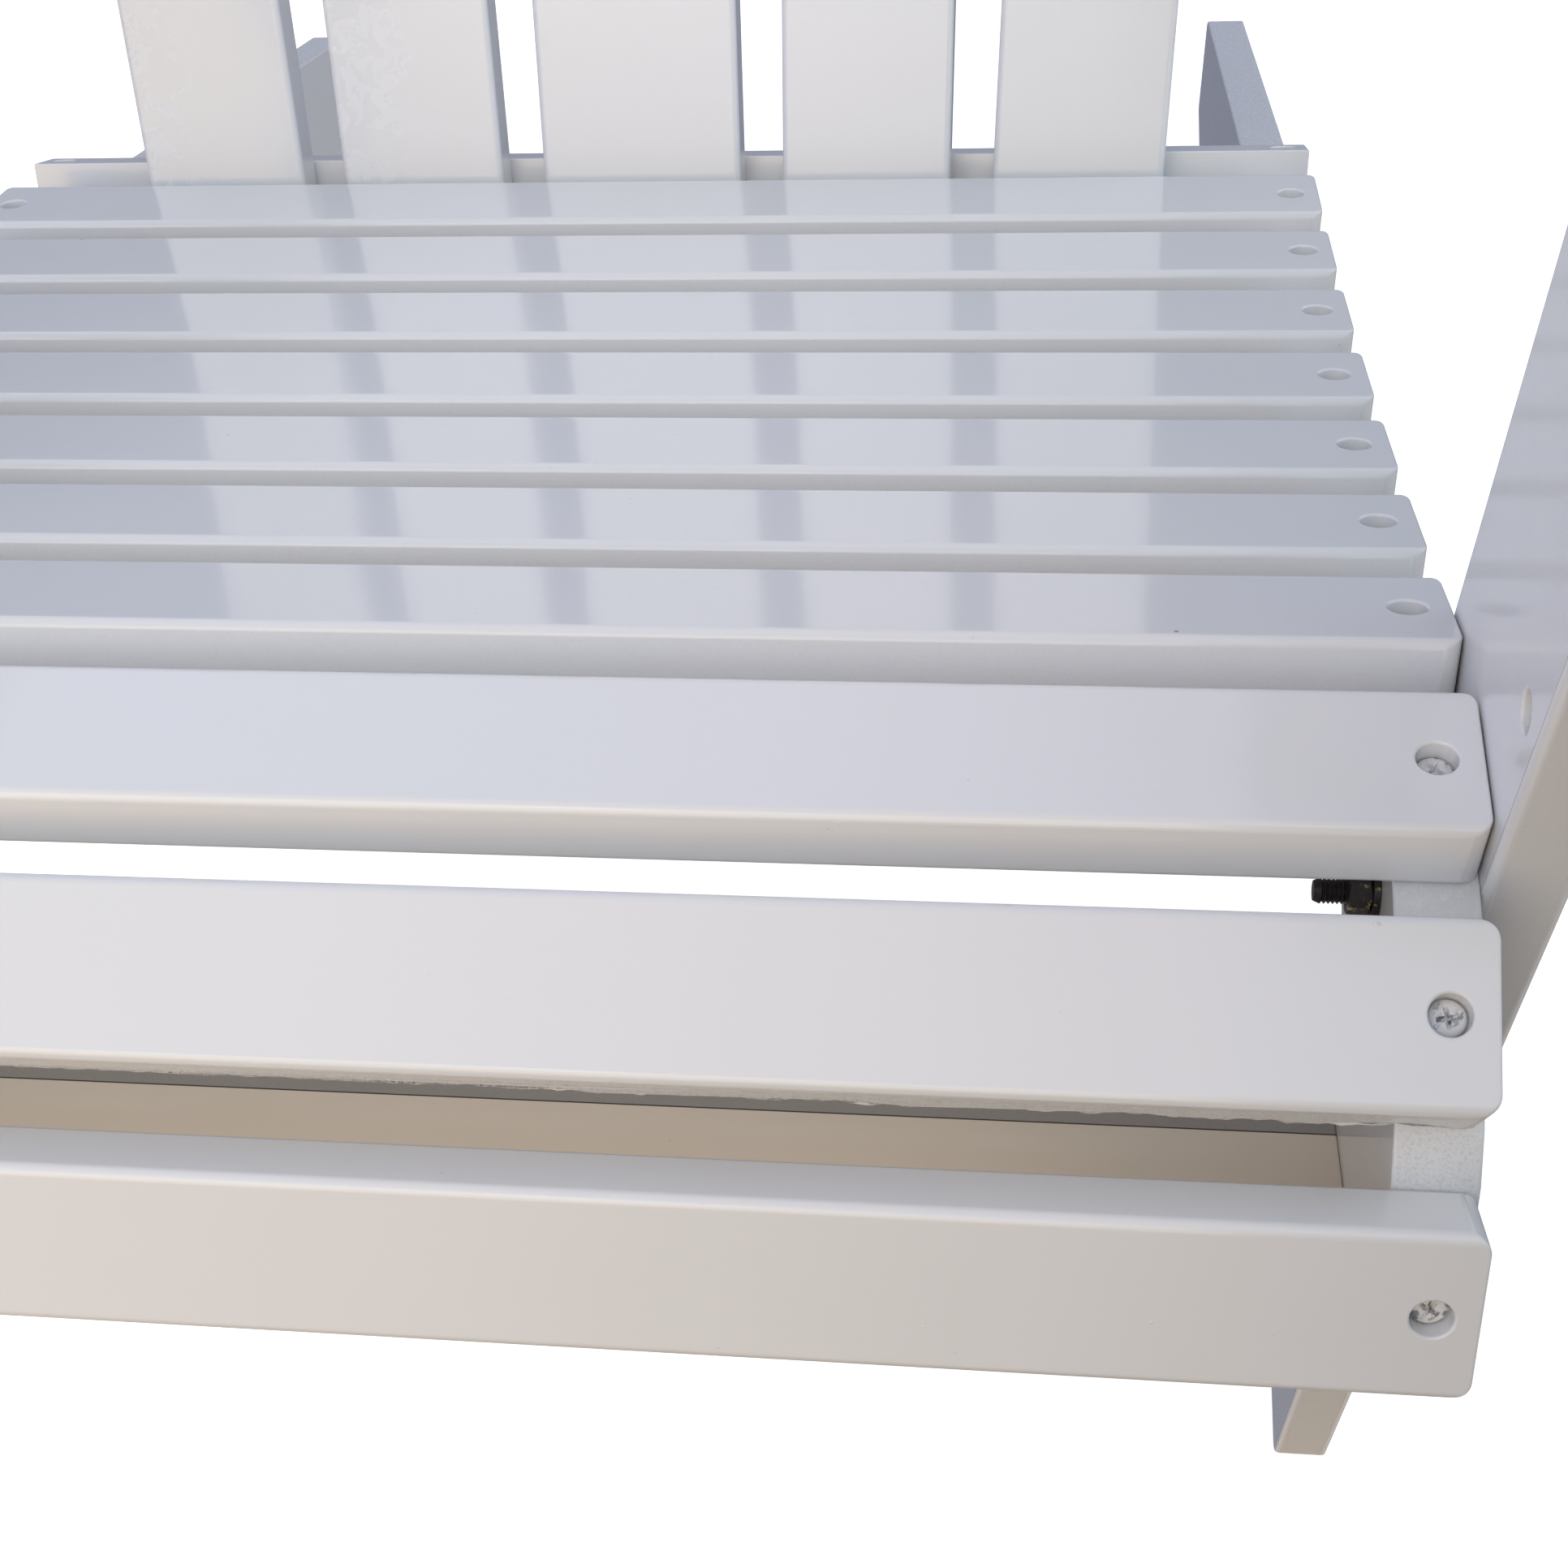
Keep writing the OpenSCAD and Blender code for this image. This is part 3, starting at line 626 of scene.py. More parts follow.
@dataclass
class Joiner:
    """Eases, scrapes and marks boards."""

    frame: dict
    ease: float = 0.7 * MM
    corner: float = 32.0
    narrow: float = 1.0 * MM
    sawn_ends: float = 0.8
    shift: Place = (1.37, 2.71, 0.83)
    seed: int = 0

    def board(
        self,
        name: str,
        finish: Material,
        sawn_edges: float = 0.0,
        shape: Callable[[BMesh, Axes], None] | None = None,
    ) -> Piece:
        """Finishes one board of the frame.

        Args:
            name: The board's node.
            finish: Its paint.
            sawn_edges: How rough its narrow edges were left, from 0 to 1.
            shape: Further shaping, given the mesh and the board's axes.

        Returns:
            The piece.
        """
        bm = welded(self.frame["nodes"][name])
        axes = Axes.of(bm)
        self._ease(bm)
        self._mark(bm, axes, sawn_edges)
        if shape is not None:
            shape(bm, axes)
        self._coordinates(bm, axes)
        made = fresh_object(f"{name}_board", bm)
        soften(made)
        dress(made, finish, Slot.PAINT, [name])
        LOG.info("%s: %d faces", made.name, len(made.data.polygons))
        return made

    def _ease(self, bm: BMesh) -> None:
        """Rounds every sharp arris, counterbore rims included.

        Args:
            bm: The board.
        """
        limit = math.radians(self.corner)
        sharp = [e for e in bm.edges if len(e.link_faces) == 2 and e.calc_face_angle() > limit]
        bmesh.ops.bevel(
            bm,
            geom=sharp,
            offset=self.ease,
            offset_type="OFFSET",
            affect="EDGES",
            segments=3,
            profile=0.5,
            material=-1,
            clamp_overlap=False,
        )
        bmesh.ops.remove_doubles(bm, verts=bm.verts, dist=MERGE)
        bm.normal_update()

    def _mark(self, bm: BMesh, axes: Axes, sawn_edges: float) -> None:
        """Notes on each face whether it is end grain, sawn or eased.

        Args:
            bm: The board.
            axes: Its directions.
            sawn_edges: Roughness of the narrow edges.
        """
        sawn = bm.faces.layers.float.new("sawn")
        eased = bm.faces.layers.float.new("eased")
        for face in bm.faces:
            n = face.normal
            facing = max(abs(n.dot(a)) for a in (axes.along, axes.across, axes.out))
            width = face.calc_area() / max(e.calc_length() for e in face.edges)
            face[eased] = 1.0 if width < self.narrow and facing < FLAT_ON else 0.0
            if abs(n.dot(axes.along)) > END_ON:
                face[sawn] = self.sawn_ends
            elif abs(n.dot(axes.out)) < SIDEWAYS:
                face[sawn] = sawn_edges

    def _coordinates(self, bm: BMesh, axes: Axes) -> None:
        """Stores the board's own coordinates on its points, shifted so that no two boards match.

        Args:
            bm: The board.
            axes: Its directions.
        """
        self.seed += 1
        shift = Vector(self.shift) * self.seed
        board = bm.verts.layers.float_vector.new("board")
        for vert in bm.verts:
            vert[board] = axes.local(vert.co) + shift


@dataclass(frozen=True)
class TornEdge:
    """A lower front edge where the paint tore when the masking or the drip was pulled off."""

    step: float = 1.6 * MM
    depth: float = 1.15 * MM
    reach: float = 3.0 * MM
    start: float = 0.07
    blend: float = 0.10
    least: float = 0.35
    seed: float = 3.1
    rag_scale: Place = (160.0, 420.0, 420.0)
    patch_scale: float = 9.0
    widest: float = 1e-3

    def __call__(self, bm: BMesh, axes: Axes) -> None:
        """Cuts the edge finely and roughens it.

        Args:
            bm: The board.
            axes: Its directions.
        """
        low = min(v.co.z for v in bm.verts)
        front = min(v.co.y for v in bm.verts)
        lip = min((v.co for v in bm.verts), key=lambda co: (co.z - low) + (co.y - front))
        edge_y, edge_z = lip.y, lip.z
        xs = [v.co.x for v in bm.verts]
        self._slice(bm, min(xs), max(xs), edge_y, edge_z)
        bm.normal_update()
        for vert in bm.verts:
            away = math.hypot(vert.co.y - edge_y, vert.co.z - edge_z)
            if away > self.reach:
                continue
            spot = vert.co * Vector(self.rag_scale) + Vector((0.0, 0.0, self.seed))
            patch = noise.noise(Vector((vert.co.x * self.patch_scale, self.seed, 0.0)))
            fade = max(0.0, 1.0 - away / self.reach) * (self.least + max(0.0, 1.0 - self.least + patch))
            rag = noise.fractal(spot, 0.8, 2.1, 4)
            onset = min(1.0, max(0.0, (vert.co.x - self.start) / self.blend + 0.5))
            amount = self.least + (1.0 - self.least) * onset
            vert.co += vert.normal * (rag * fade * amount * self.depth)

    def _slice(self, bm: BMesh, low: float, high: float, edge_y: float, edge_z: float) -> None:
        """Cuts the faces around the edge at even steps along it.

        Args:
            bm: The board.
            low: X where the edge starts.
            high: X where it ends.
            edge_y: Y of the edge.
            edge_z: Z of the edge.
        """
        for i in range(1, int((high - low) / self.step)):
            x = low + i * self.step
            near = [
                f
                for f in bm.faces
                if any(math.hypot(v.co.y - edge_y, v.co.z - edge_z) < self.reach for v in f.verts)
                and min(v.co.x for v in f.verts) < x < max(v.co.x for v in f.verts)
                and f.calc_area() < self.widest
            ]
            edges = dict.fromkeys(e for f in near for e in f.edges)
            plane = {"plane_co": (x, 0.0, 0.0), "plane_no": (1.0, 0.0, 0.0)}
            bmesh.ops.bisect_plane(bm, geom=[*near, *edges], dist=ON_PLANE, **plane)


# ---------- sub-assemblies ----------


@dataclass(frozen=True)
class ShadedCoarseStrip:
    """The rear strip of the stretcher's top, left as it came from the saw and painted dark grey as the
    painted shadow of the nose slat above it, with a fine step before it.
    """

    from_front: float = 43.0 * MM
    step: float = 0.5 * MM

    def __call__(self, bm: BMesh, axes: Axes) -> None:
        """Cuts the strip off the face and marks it.

        Args:
            bm: The board.
            axes: Its directions.
        """
        rear = axes.across if axes.across.y > 0 else -axes.across
        front = min(v.co.dot(rear) for v in bm.verts)
        for offset in (0.0, self.step):
            geom = [*bm.verts, *bm.edges, *bm.faces]
            at = rear * (front + self.from_front + offset)
            bmesh.ops.bisect_plane(bm, geom=geom, dist=ON_PLANE, plane_co=at, plane_no=rear)
        bm.normal_update()
        # this mark carries both the sawn roughness and the painted shade of the nose slat
        coarse_and_shaded = bm.faces.layers.float.new("coarse_and_shaded")
        for face in bm.faces:
            reach = face.calc_center_median().dot(rear) - front - self.from_front
            if face.normal.z > 0.5 and reach > 0.0:
                face[coarse_and_shaded] = 0.5 if reach < self.step else 1.0


@dataclass
class SeatDeck:
    """The seven seat slats and the three boards that wrap the nose."""

    joiner: Joiner
    slats: int = 7

    def build(self) -> None:
        """Builds and dresses the boards."""
        seat = Enamel("seat_enamel", gloss_rough=0.085).make()
        nose = Enamel("nose_enamel", gloss_rough=0.13, torn=0.14).make()
        for k in range(1, self.slats + 1):
            self.joiner.board(f"seat_slat_{k}", seat, sawn_edges=0.15)
        self.joiner.board("front_slat", seat)
        self.joiner.board("nose_slat", nose, sawn_edges=0.9, shape=TornEdge())
        self.joiner.board("front_apron", nose)


@dataclass
class SideFrames:
    """Both stringers and front legs, and the stretcher between the stringers."""

    joiner: Joiner

    def build(self) -> None:
        """Builds and dresses the boards."""
        frame_paint = Enamel("frame_enamel", gloss_rough=0.16, ripple=0.05 * MM, torn=0.10).make()
        for side in Side:
            self.joiner.board(f"{side.value}_stringer", frame_paint, sawn_edges=0.25)
            self.joiner.board(f"{side.value}_front_leg", frame_paint, sawn_edges=0.15)
        # painted light: the stretcher is tinted cream to stand in for the warm light on its front, and
        # its rear strip is painted dark grey as painted shade
        warm_lit_cream = Enamel("warm_lit_enamel", colour=(0.90, 0.80, 0.66, 1.0), gloss_rough=0.30, torn=0.0).make()
        self.joiner.board("front_stretcher", warm_lit_cream, shape=ShadedCoarseStrip())


@dataclass
class Backrest:
    """The five fanned slats and the three rails that carry them."""

    joiner: Joiner
    slats: int = 5
    dappled: tuple[float, ...] = (-0.205, -0.112)

    def build(self) -> None:
        """Builds and dresses the boards."""
        plain = Enamel("back_enamel", gloss_rough=0.14).make()
        spots = [
            Enamel(f"dappled_enamel_{i}", gloss_rough=0.11, dapple=0.22, dapple_x=x).make()
            for i, x in enumerate(self.dappled, 1)
        ]
        for i in range(1, self.slats + 1):
            self.joiner.board(f"back_slat_{i}", spots[i - 1] if i <= len(spots) else plain)
        for name in ("lower_back_rail", "arm_rail", "top_batten"):
            self.joiner.board(name, plain, sawn_edges=0.35)


@dataclass
class Arms:
    """Both armrests and the brackets under them."""

    joiner: Joiner

    def build(self) -> None:
        """Builds and dresses the boards."""
        paint = Enamel("arm_enamel", gloss_rough=0.11).make()
        for side in Side:
            self.joiner.board(f"{side.value}_armrest", paint, sawn_edges=0.2)
            self.joiner.board(f"{side.value}_arm_bracket", paint, sawn_edges=0.3)


# ---------- fasteners ----------


@dataclass(frozen=True)
class Seat:
    """Where one fastener sits: its axis, its ends along it and its widest radius."""

    origin: Vector
    axis: Vector
    low: float
    high: float
    radius: float

    @property
    def length(self) -> float:
        """From one end to the other."""
        return self.high - self.low

    def matrix(self, turn: float) -> Matrix:
        """Places a fastener whose top is at z = 0 and points up +Z.

        Args:
            turn: Turn about its own axis, in radians.

        Returns:
            The transform.
        """
        tilt = self.axis.to_track_quat("Z", "Y").to_matrix().to_4x4()
        top = Matrix.Translation(self.origin + self.axis * self.high)
        return top @ tilt @ Matrix.Rotation(turn, 4, "Z")


def islands(bm: BMesh) -> list[Points]:
    """Parts a merged mesh into its separate solids.

    Args:
        bm: The mesh.

    Returns:
        The points of each solid, in the order of their places.
    """
    left = set(bm.verts)
    found = []
    for start in bm.verts:
        if start not in left:
            continue
        left.remove(start)
        stack = [start]
        part = []
        while stack:
            vert = stack.pop()
            part.append(vert)
            for edge in vert.link_edges:
                other = edge.other_vert(vert)
                if other in left:
                    left.remove(other)
                    stack.append(other)
        found.append(part)
    return sorted(found, key=lambda part: tuple(round(c, 4) for c in middle([v.co for v in part])))


def middle(points: list[Vector]) -> Vector:
    """Middle of the box round some points."""
    return Vector([(min(p[i] for p in points) + max(p[i] for p in points)) / 2 for i in range(3)])


def round_axis(part: Points) -> Vector:
    """Axis of a turned solid: the direction that its flat ends face.

    Args:
        part: The solid's points.

    Returns:
        The unit axis.
    """
    faces = dict.fromkeys(f for v in part for f in v.link_faces)
    areas = facing_areas(faces, Vector((0.13, 0.51, 0.85)), digits=3)
    return Vector(max(areas, key=lambda key: areas[key])).normalized()


def seats(node: Piece) -> list[Seat]:
    """Where each fastener of a frame node sits, with its axis pointing to its wide end.

    Args:
        node: The frame node.

    Returns:
        One seat for each solid.
    """
    bm = welded(node)
    bm.normal_update()
    found = []
    for part in islands(bm):
        axis = round_axis(part)
        along = [v.co.dot(axis) for v in part]
        half = (min(along) + max(along)) / 2
        widths = {}
        for sign in (-1, 1):
            end = [v.co for v in part if (v.co.dot(axis) - half) * sign > 0]
            heart = sum(end, Vector()) / len(end)
            widths[sign] = max((co - heart - axis * (co - heart).dot(axis)).length for co in end)
        if widths[-1] > widths[1] - MERGE:  # the ends of a nut are alike, and rounding never chooses
            axis = -axis
            along = [-a for a in along]
        flat = [v.co - axis * v.co.dot(axis) for v in part]
        line = middle(flat)
        line -= axis * line.dot(axis)
        found.append(Seat(line, axis, min(along), max(along), max((p - line).length for p in flat)))
    bm.free()
    return found


def turned(profile: list[tuple[float, float]], steps: int) -> BMesh:
    """Turns a closed outline about Z.

    Args:
        profile: Radius and height of each point, from the axis to the axis or round a ring.
        steps: Facets round the axis.

    Returns:
        The closed solid.
    """
    bm = bmesh.new()
    verts = [bm.verts.new((r, 0.0, z)) for r, z in profile]
    ring = profile[0][0] > 0
    edges = [bm.edges.new(pair) for pair in zip(verts, verts[1:] + ([verts[0]] if ring else []))]
    about = {"cent": (0.0, 0.0, 0.0), "axis": (0.0, 0.0, 1.0), "angle": math.tau, "steps": steps}
    bmesh.ops.spin(bm, geom=[*verts, *edges], use_merge=True, use_duplicate=False, **about)
    bmesh.ops.remove_doubles(bm, verts=bm.verts, dist=MERGE)
    bmesh.ops.recalc_face_normals(bm, faces=bm.faces)
    return bm


def carved(name: str, body: BMesh, tool: BMesh, operation: str) -> Mesh:
    """Cuts one solid with another.

    Args:
        name: Name of the mesh.
        body: The solid, which is freed.
        tool: The cutter, which is freed.
        operation: DIFFERENCE or INTERSECT.

    Returns:
        The cut mesh.
    """
    stock = fresh_object(f"{name}_stock", body)
    cutter = fresh_object(f"{name}_cutter", tool)
    cut = stock.modifiers.new("cut", "BOOLEAN")
    cut.operation = operation
    cut.solver = "EXACT"
    cut.object = cutter
    bpy.context.view_layer.update()
    shaped = stock.evaluated_get(bpy.context.evaluated_depsgraph_get())
    mesh = bpy.data.meshes.new_from_object(shaped)
    mesh.name = name
    bpy.data.objects.remove(stock)
    bpy.data.objects.remove(cutter)
    return mesh


@dataclass(frozen=True)
class Screw:
    """A pan-headed cross-recess wood screw, top of the head at z = 0."""

    head_d: float = 8.4 * MM
    head_t: float = 2.4 * MM
    shank_d: float = 4.0 * MM
    pitch: float = 1.8 * MM
    root: float = 0.72
    neck: float = 2.5 * MM
    point: float = 2.0 * MM
    wing: float = 5.0 * MM
    wing_w: float = 1.15 * MM
    recess: float = 1.7 * MM
    taper: float = 0.42
    steps: int = 28

    def outline(self, length: float) -> list[tuple[float, float]]:
        """Half section of the whole screw.

        Args:
            length: From the top of the head to the tip.

        Returns:
            Radius and height of each point.
        """
        r = self.head_d / 2
        head = [
            (0.0, 0.0),
            (r * 0.45, -0.06 * MM),
            (r * 0.72, -0.22 * MM),
            (r * 0.88, -0.52 * MM),
            (r * 0.97, -0.98 * MM),
            (r, -1.5 * MM),
            (r, -self.head_t + 0.25 * MM),
            (r * 0.96, -self.head_t),
        ]
        crest = self.shank_d / 2
        neck = -self.head_t - self.neck
        shank = [(crest * 0.9, -self.head_t), (crest * 0.9, neck)]
        turns = int((length + neck - self.point) / self.pitch)
        thread = []
        for i in range(turns):
            z = neck - i * self.pitch
            thread += [(crest * self.root, z - 0.30 * self.pitch), (crest, z - 0.62 * self.pitch)]
        tip = [(crest * self.root, neck - turns * self.pitch), (0.0, -length)]
        return head + shank + thread + tip

    def mesh(self, length: float) -> Mesh:
        """The screw as a mesh.

        Args:
            length: From the top of the head to the tip.

        Returns:
            The mesh.
        """
        body = turned(self.outline(length), self.steps)
        return carved("screw", body, self._cross(), "DIFFERENCE")

    def _cross(self) -> BMesh:
        """A tapered cross that cuts the recess.

        Returns:
            The closed solid.
        """
        arm = self.wing / 2
        half = self.wing_w / 2
        corner = [(arm, -half), (arm, half), (half, half)]
        quarters = ((1, 0), (0, 1), (-1, 0), (0, -1))
        plus = [(x * c - y * s, x * s + y * c) for c, s in quarters for x, y in corner]
        bm = bmesh.new()
        low = [bm.verts.new((x * self.taper, y * self.taper, -self.recess)) for x, y in plus]
        flare = 2.0 - self.taper
        high = [bm.verts.new((x * flare, y * flare, self.recess)) for x, y in plus]
        bm.faces.new(low)
        bm.faces.new(high)
        for i in range(len(plus)):
            j = (i + 1) % len(plus)
            bm.faces.new((low[i], low[j], high[j], high[i]))
        bmesh.ops.recalc_face_normals(bm, faces=bm.faces)
        return bm


@dataclass(frozen=True)
class Bolt:
    """A dome-headed machine bolt with a full thread, top of the dome at z = 0."""

    head_d: float = 14.0 * MM
    rise: float = 3.4 * MM
    shank_d: float = 6.0 * MM
    pitch: float = 1.0 * MM
    root: float = 0.83
    plain: float = 26.0 * MM
    rings: int = 9
    steps: int = 40

    def mesh(self, length: float) -> Mesh:
        """The bolt as a mesh.

        Args:
            length: From the top of the dome to the end of the thread.

        Returns:
            The mesh.
        """
        r = self.head_d / 2
        dome_r = (r * r + self.rise * self.rise) / (2 * self.rise)
        sweep = math.asin(r / dome_r)
        angles = [sweep * i / self.rings for i in range(self.rings)]
        dome = [(dome_r * math.sin(a), dome_r * (math.cos(a) - 1.0)) for a in angles]
        crest = self.shank_d / 2
        rim = [(r * 0.995, -self.rise + 0.25 * MM), (r * 0.985, -self.rise)]
        shank = [(crest, -self.rise), (crest, -self.rise - self.plain)]
        thread = []
        turns = int((length - self.rise - self.plain - self.pitch) / self.pitch)
        for i in range(turns):
            z = -self.rise - self.plain - i * self.pitch
            thread += [(crest * self.root, z - share * self.pitch) for share in (0.42, 0.54)]
            thread += [(crest, z - share * self.pitch) for share in (0.90, 1.0)]
        end = [(crest * 0.78, -length), (0.0, -length)]
        return as_mesh("bolt", turned(dome + rim + shank + thread + end, self.steps))


@dataclass(frozen=True)
class Nut:
    """A hexagon nut, chamfered on both faces, top at z = 0."""

    flats: float = 10.0 * MM
    bore: float = 6.0 * MM
    chamfer: float = 0.55 * MM
    lead_in: float = 0.35 * MM
    steps: int = 48

    def mesh(self, height: float) -> Mesh:
        """The nut as a mesh.

        Args:
            height: From face to face.

        Returns:
            The mesh.
        """
        corner = self.flats / 2 / math.cos(math.pi / 6)
        prism = bmesh.new()
        bmesh.ops.create_cone(
            prism,
            cap_ends=True,
            segments=6,
            radius1=corner,
            radius2=corner,
            depth=height,
            matrix=Matrix.Translation((0.0, 0.0, -height / 2)),
        )
        hole = self.bore / 2
        face = self.flats / 2 * 0.97
        past = corner * 1.02
        fall = self.chamfer * 1.25
        ring = [
            (hole + self.lead_in, 0.0),
            (face, 0.0),
            (past, -fall),
            (past, -height + fall),
            (face, -height),
            (hole + self.lead_in, -height),
            (hole, -height + self.lead_in),
            (hole, -self.lead_in),
        ]
        return carved("nut", prism, turned(ring, self.steps), "INTERSECT")


@dataclass(frozen=True)
class Washer:
    """A stamped washer with a rolled rim, top at z = 0."""

    bore: float = 6.0 * MM
    roll: float = 0.3 * MM
    steps: int = 48

    def mesh(self, height: float, radius: float) -> Mesh:
        """The washer as a mesh.

        Args:
            height: Its thickness.
            radius: Its outer radius.

        Returns:
            The mesh.
        """
        hole = self.bore / 2
        ring = [
            (hole, -self.roll),
            (hole + self.roll, 0.0),
            (radius - self.roll, 0.0),
            (radius - self.roll * 0.3, -self.roll * 0.3),
            (radius, -self.roll),
            (radius, -height + self.roll * 0.5),
            (radius - self.roll * 0.5, -height),
            (hole + self.roll * 0.5, -height),
        ]
        return as_mesh("washer", turned(ring, self.steps))


@dataclass
class Fasteners:
    """Every screw, bolt, nut and washer of the chair."""

    frame: dict
    screw_nodes: tuple[str, ...] = (
        "seat_slat_screws",
        "nose_screws",
        "bracket_screws",
        "stretcher_screws",
        "rail_screws",
        "lower_back_screws",
        "arm_rail_screws",
        "batten_screws",
        "armrest_screws",
    )
    screw: Screw = field(default_factory=Screw)
    bolt: Bolt = field(default_factory=Bolt)
    nut: Nut = field(default_factory=Nut)
    washer: Washer = field(default_factory=Washer)
    first_turn: float = 0.4
    next_turn: float = 0.73
    sharp: float = 35.0
    stock: dict[tuple[str, int], Mesh] = field(default_factory=dict)

    def build(self) -> None:
        """Builds and dresses every group."""
        zinc = ZincPlate().make()
        black = BlackSteel().make()
        for name in self.screw_nodes:
            self._group(name, zinc, Slot.ZINC, lambda s: self._cut("screw", s.length, self.screw.mesh))
        self._group("leg_bolts", black, Slot.BLACK, lambda s: self._cut("bolt", s.length, self.bolt.mesh))
        rubbed = BlackSteel("rubbed_oxide", worn=0.56).make()
        nuts = "leg_bolt_nuts"
        self._group(nuts, rubbed, Slot.BLACK, lambda s: self._cut("nut", s.length, self.nut.mesh))
        self._group("leg_bolt_washers", black, Slot.BLACK, self._washer)

    def _washer(self, seat: Seat) -> Mesh:
        """The washer for a seat."""
        return self._cut("washer", seat.length, lambda height: self.washer.mesh(height, seat.radius))

    def _cut(self, kind: str, length: float, make: Callable[[float], Mesh]) -> Mesh:
        """One mesh for each kind and length, kept for the next that is the same.

        Args:
            kind: Kind of fastener.
            length: Its length.
            make: Gives the mesh for a length.

        Returns:
            The mesh.
        """
        key = (kind, round(length / (0.01 * MM)))
        if key not in self.stock:
            self.stock[key] = make(length)
        return self.stock[key]

    def _group(
        self,
        name: str,
        material: Material,
        slot: Slot,
        make: Callable[[Seat], Mesh],
    ) -> None:
        """Builds one group of like fasteners.

        Args:
            name: The frame node that holds them.
            material: Their finish.
            slot: The record's slot.
            make: Gives the mesh for a seat.
        """
        bm = bmesh.new()
        for i, seat in enumerate(seats(self.frame["nodes"][name])):
            before = len(bm.verts)
            bm.from_mesh(make(seat))
            bm.verts.ensure_lookup_table()
            place = seat.matrix(self.first_turn + self.next_turn * i)
            bmesh.ops.transform(bm, matrix=place, verts=bm.verts[before:])
        bm.normal_update()
        made = fresh_object(f"{name}_turned", bm)
        soften(made, self.sharp)
        dress(made, material, slot, [name])
        LOG.info("%s: %d faces", made.name, len(made.data.polygons))


# ---------- studio ----------


@dataclass(frozen=True)
class Band:
    """One band of the sky, coloured by the side of the chair that it lies on."""

    front: Colour
    right: Colour
    rear: Colour
    left: Colour

    def mixed(self, g: Graph, across: Expr, depth: Expr) -> Expr:
        """The band's colour in a direction.

        Args:
            g: The sky's graph.
            across: How far the direction points to the right, from -1 to 1.
            depth: How far it points to the rear, from -1 to 1.

        Returns:
            The colour.
        """
        colour = g.mix(across.above(-0.15, 0.15), self.left, self.right)
        colour = g.mix(depth.above(0.62, 0.79), colour, self.rear)
        return g.mix(depth.above(-0.62, -0.79), colour, self.front)


@dataclass(frozen=True)
class Softbox:
    """A square lamp that faces the seat, placed from the focus."""

    name: str
    at: Place
    size: float
    power: float
    tint: Place


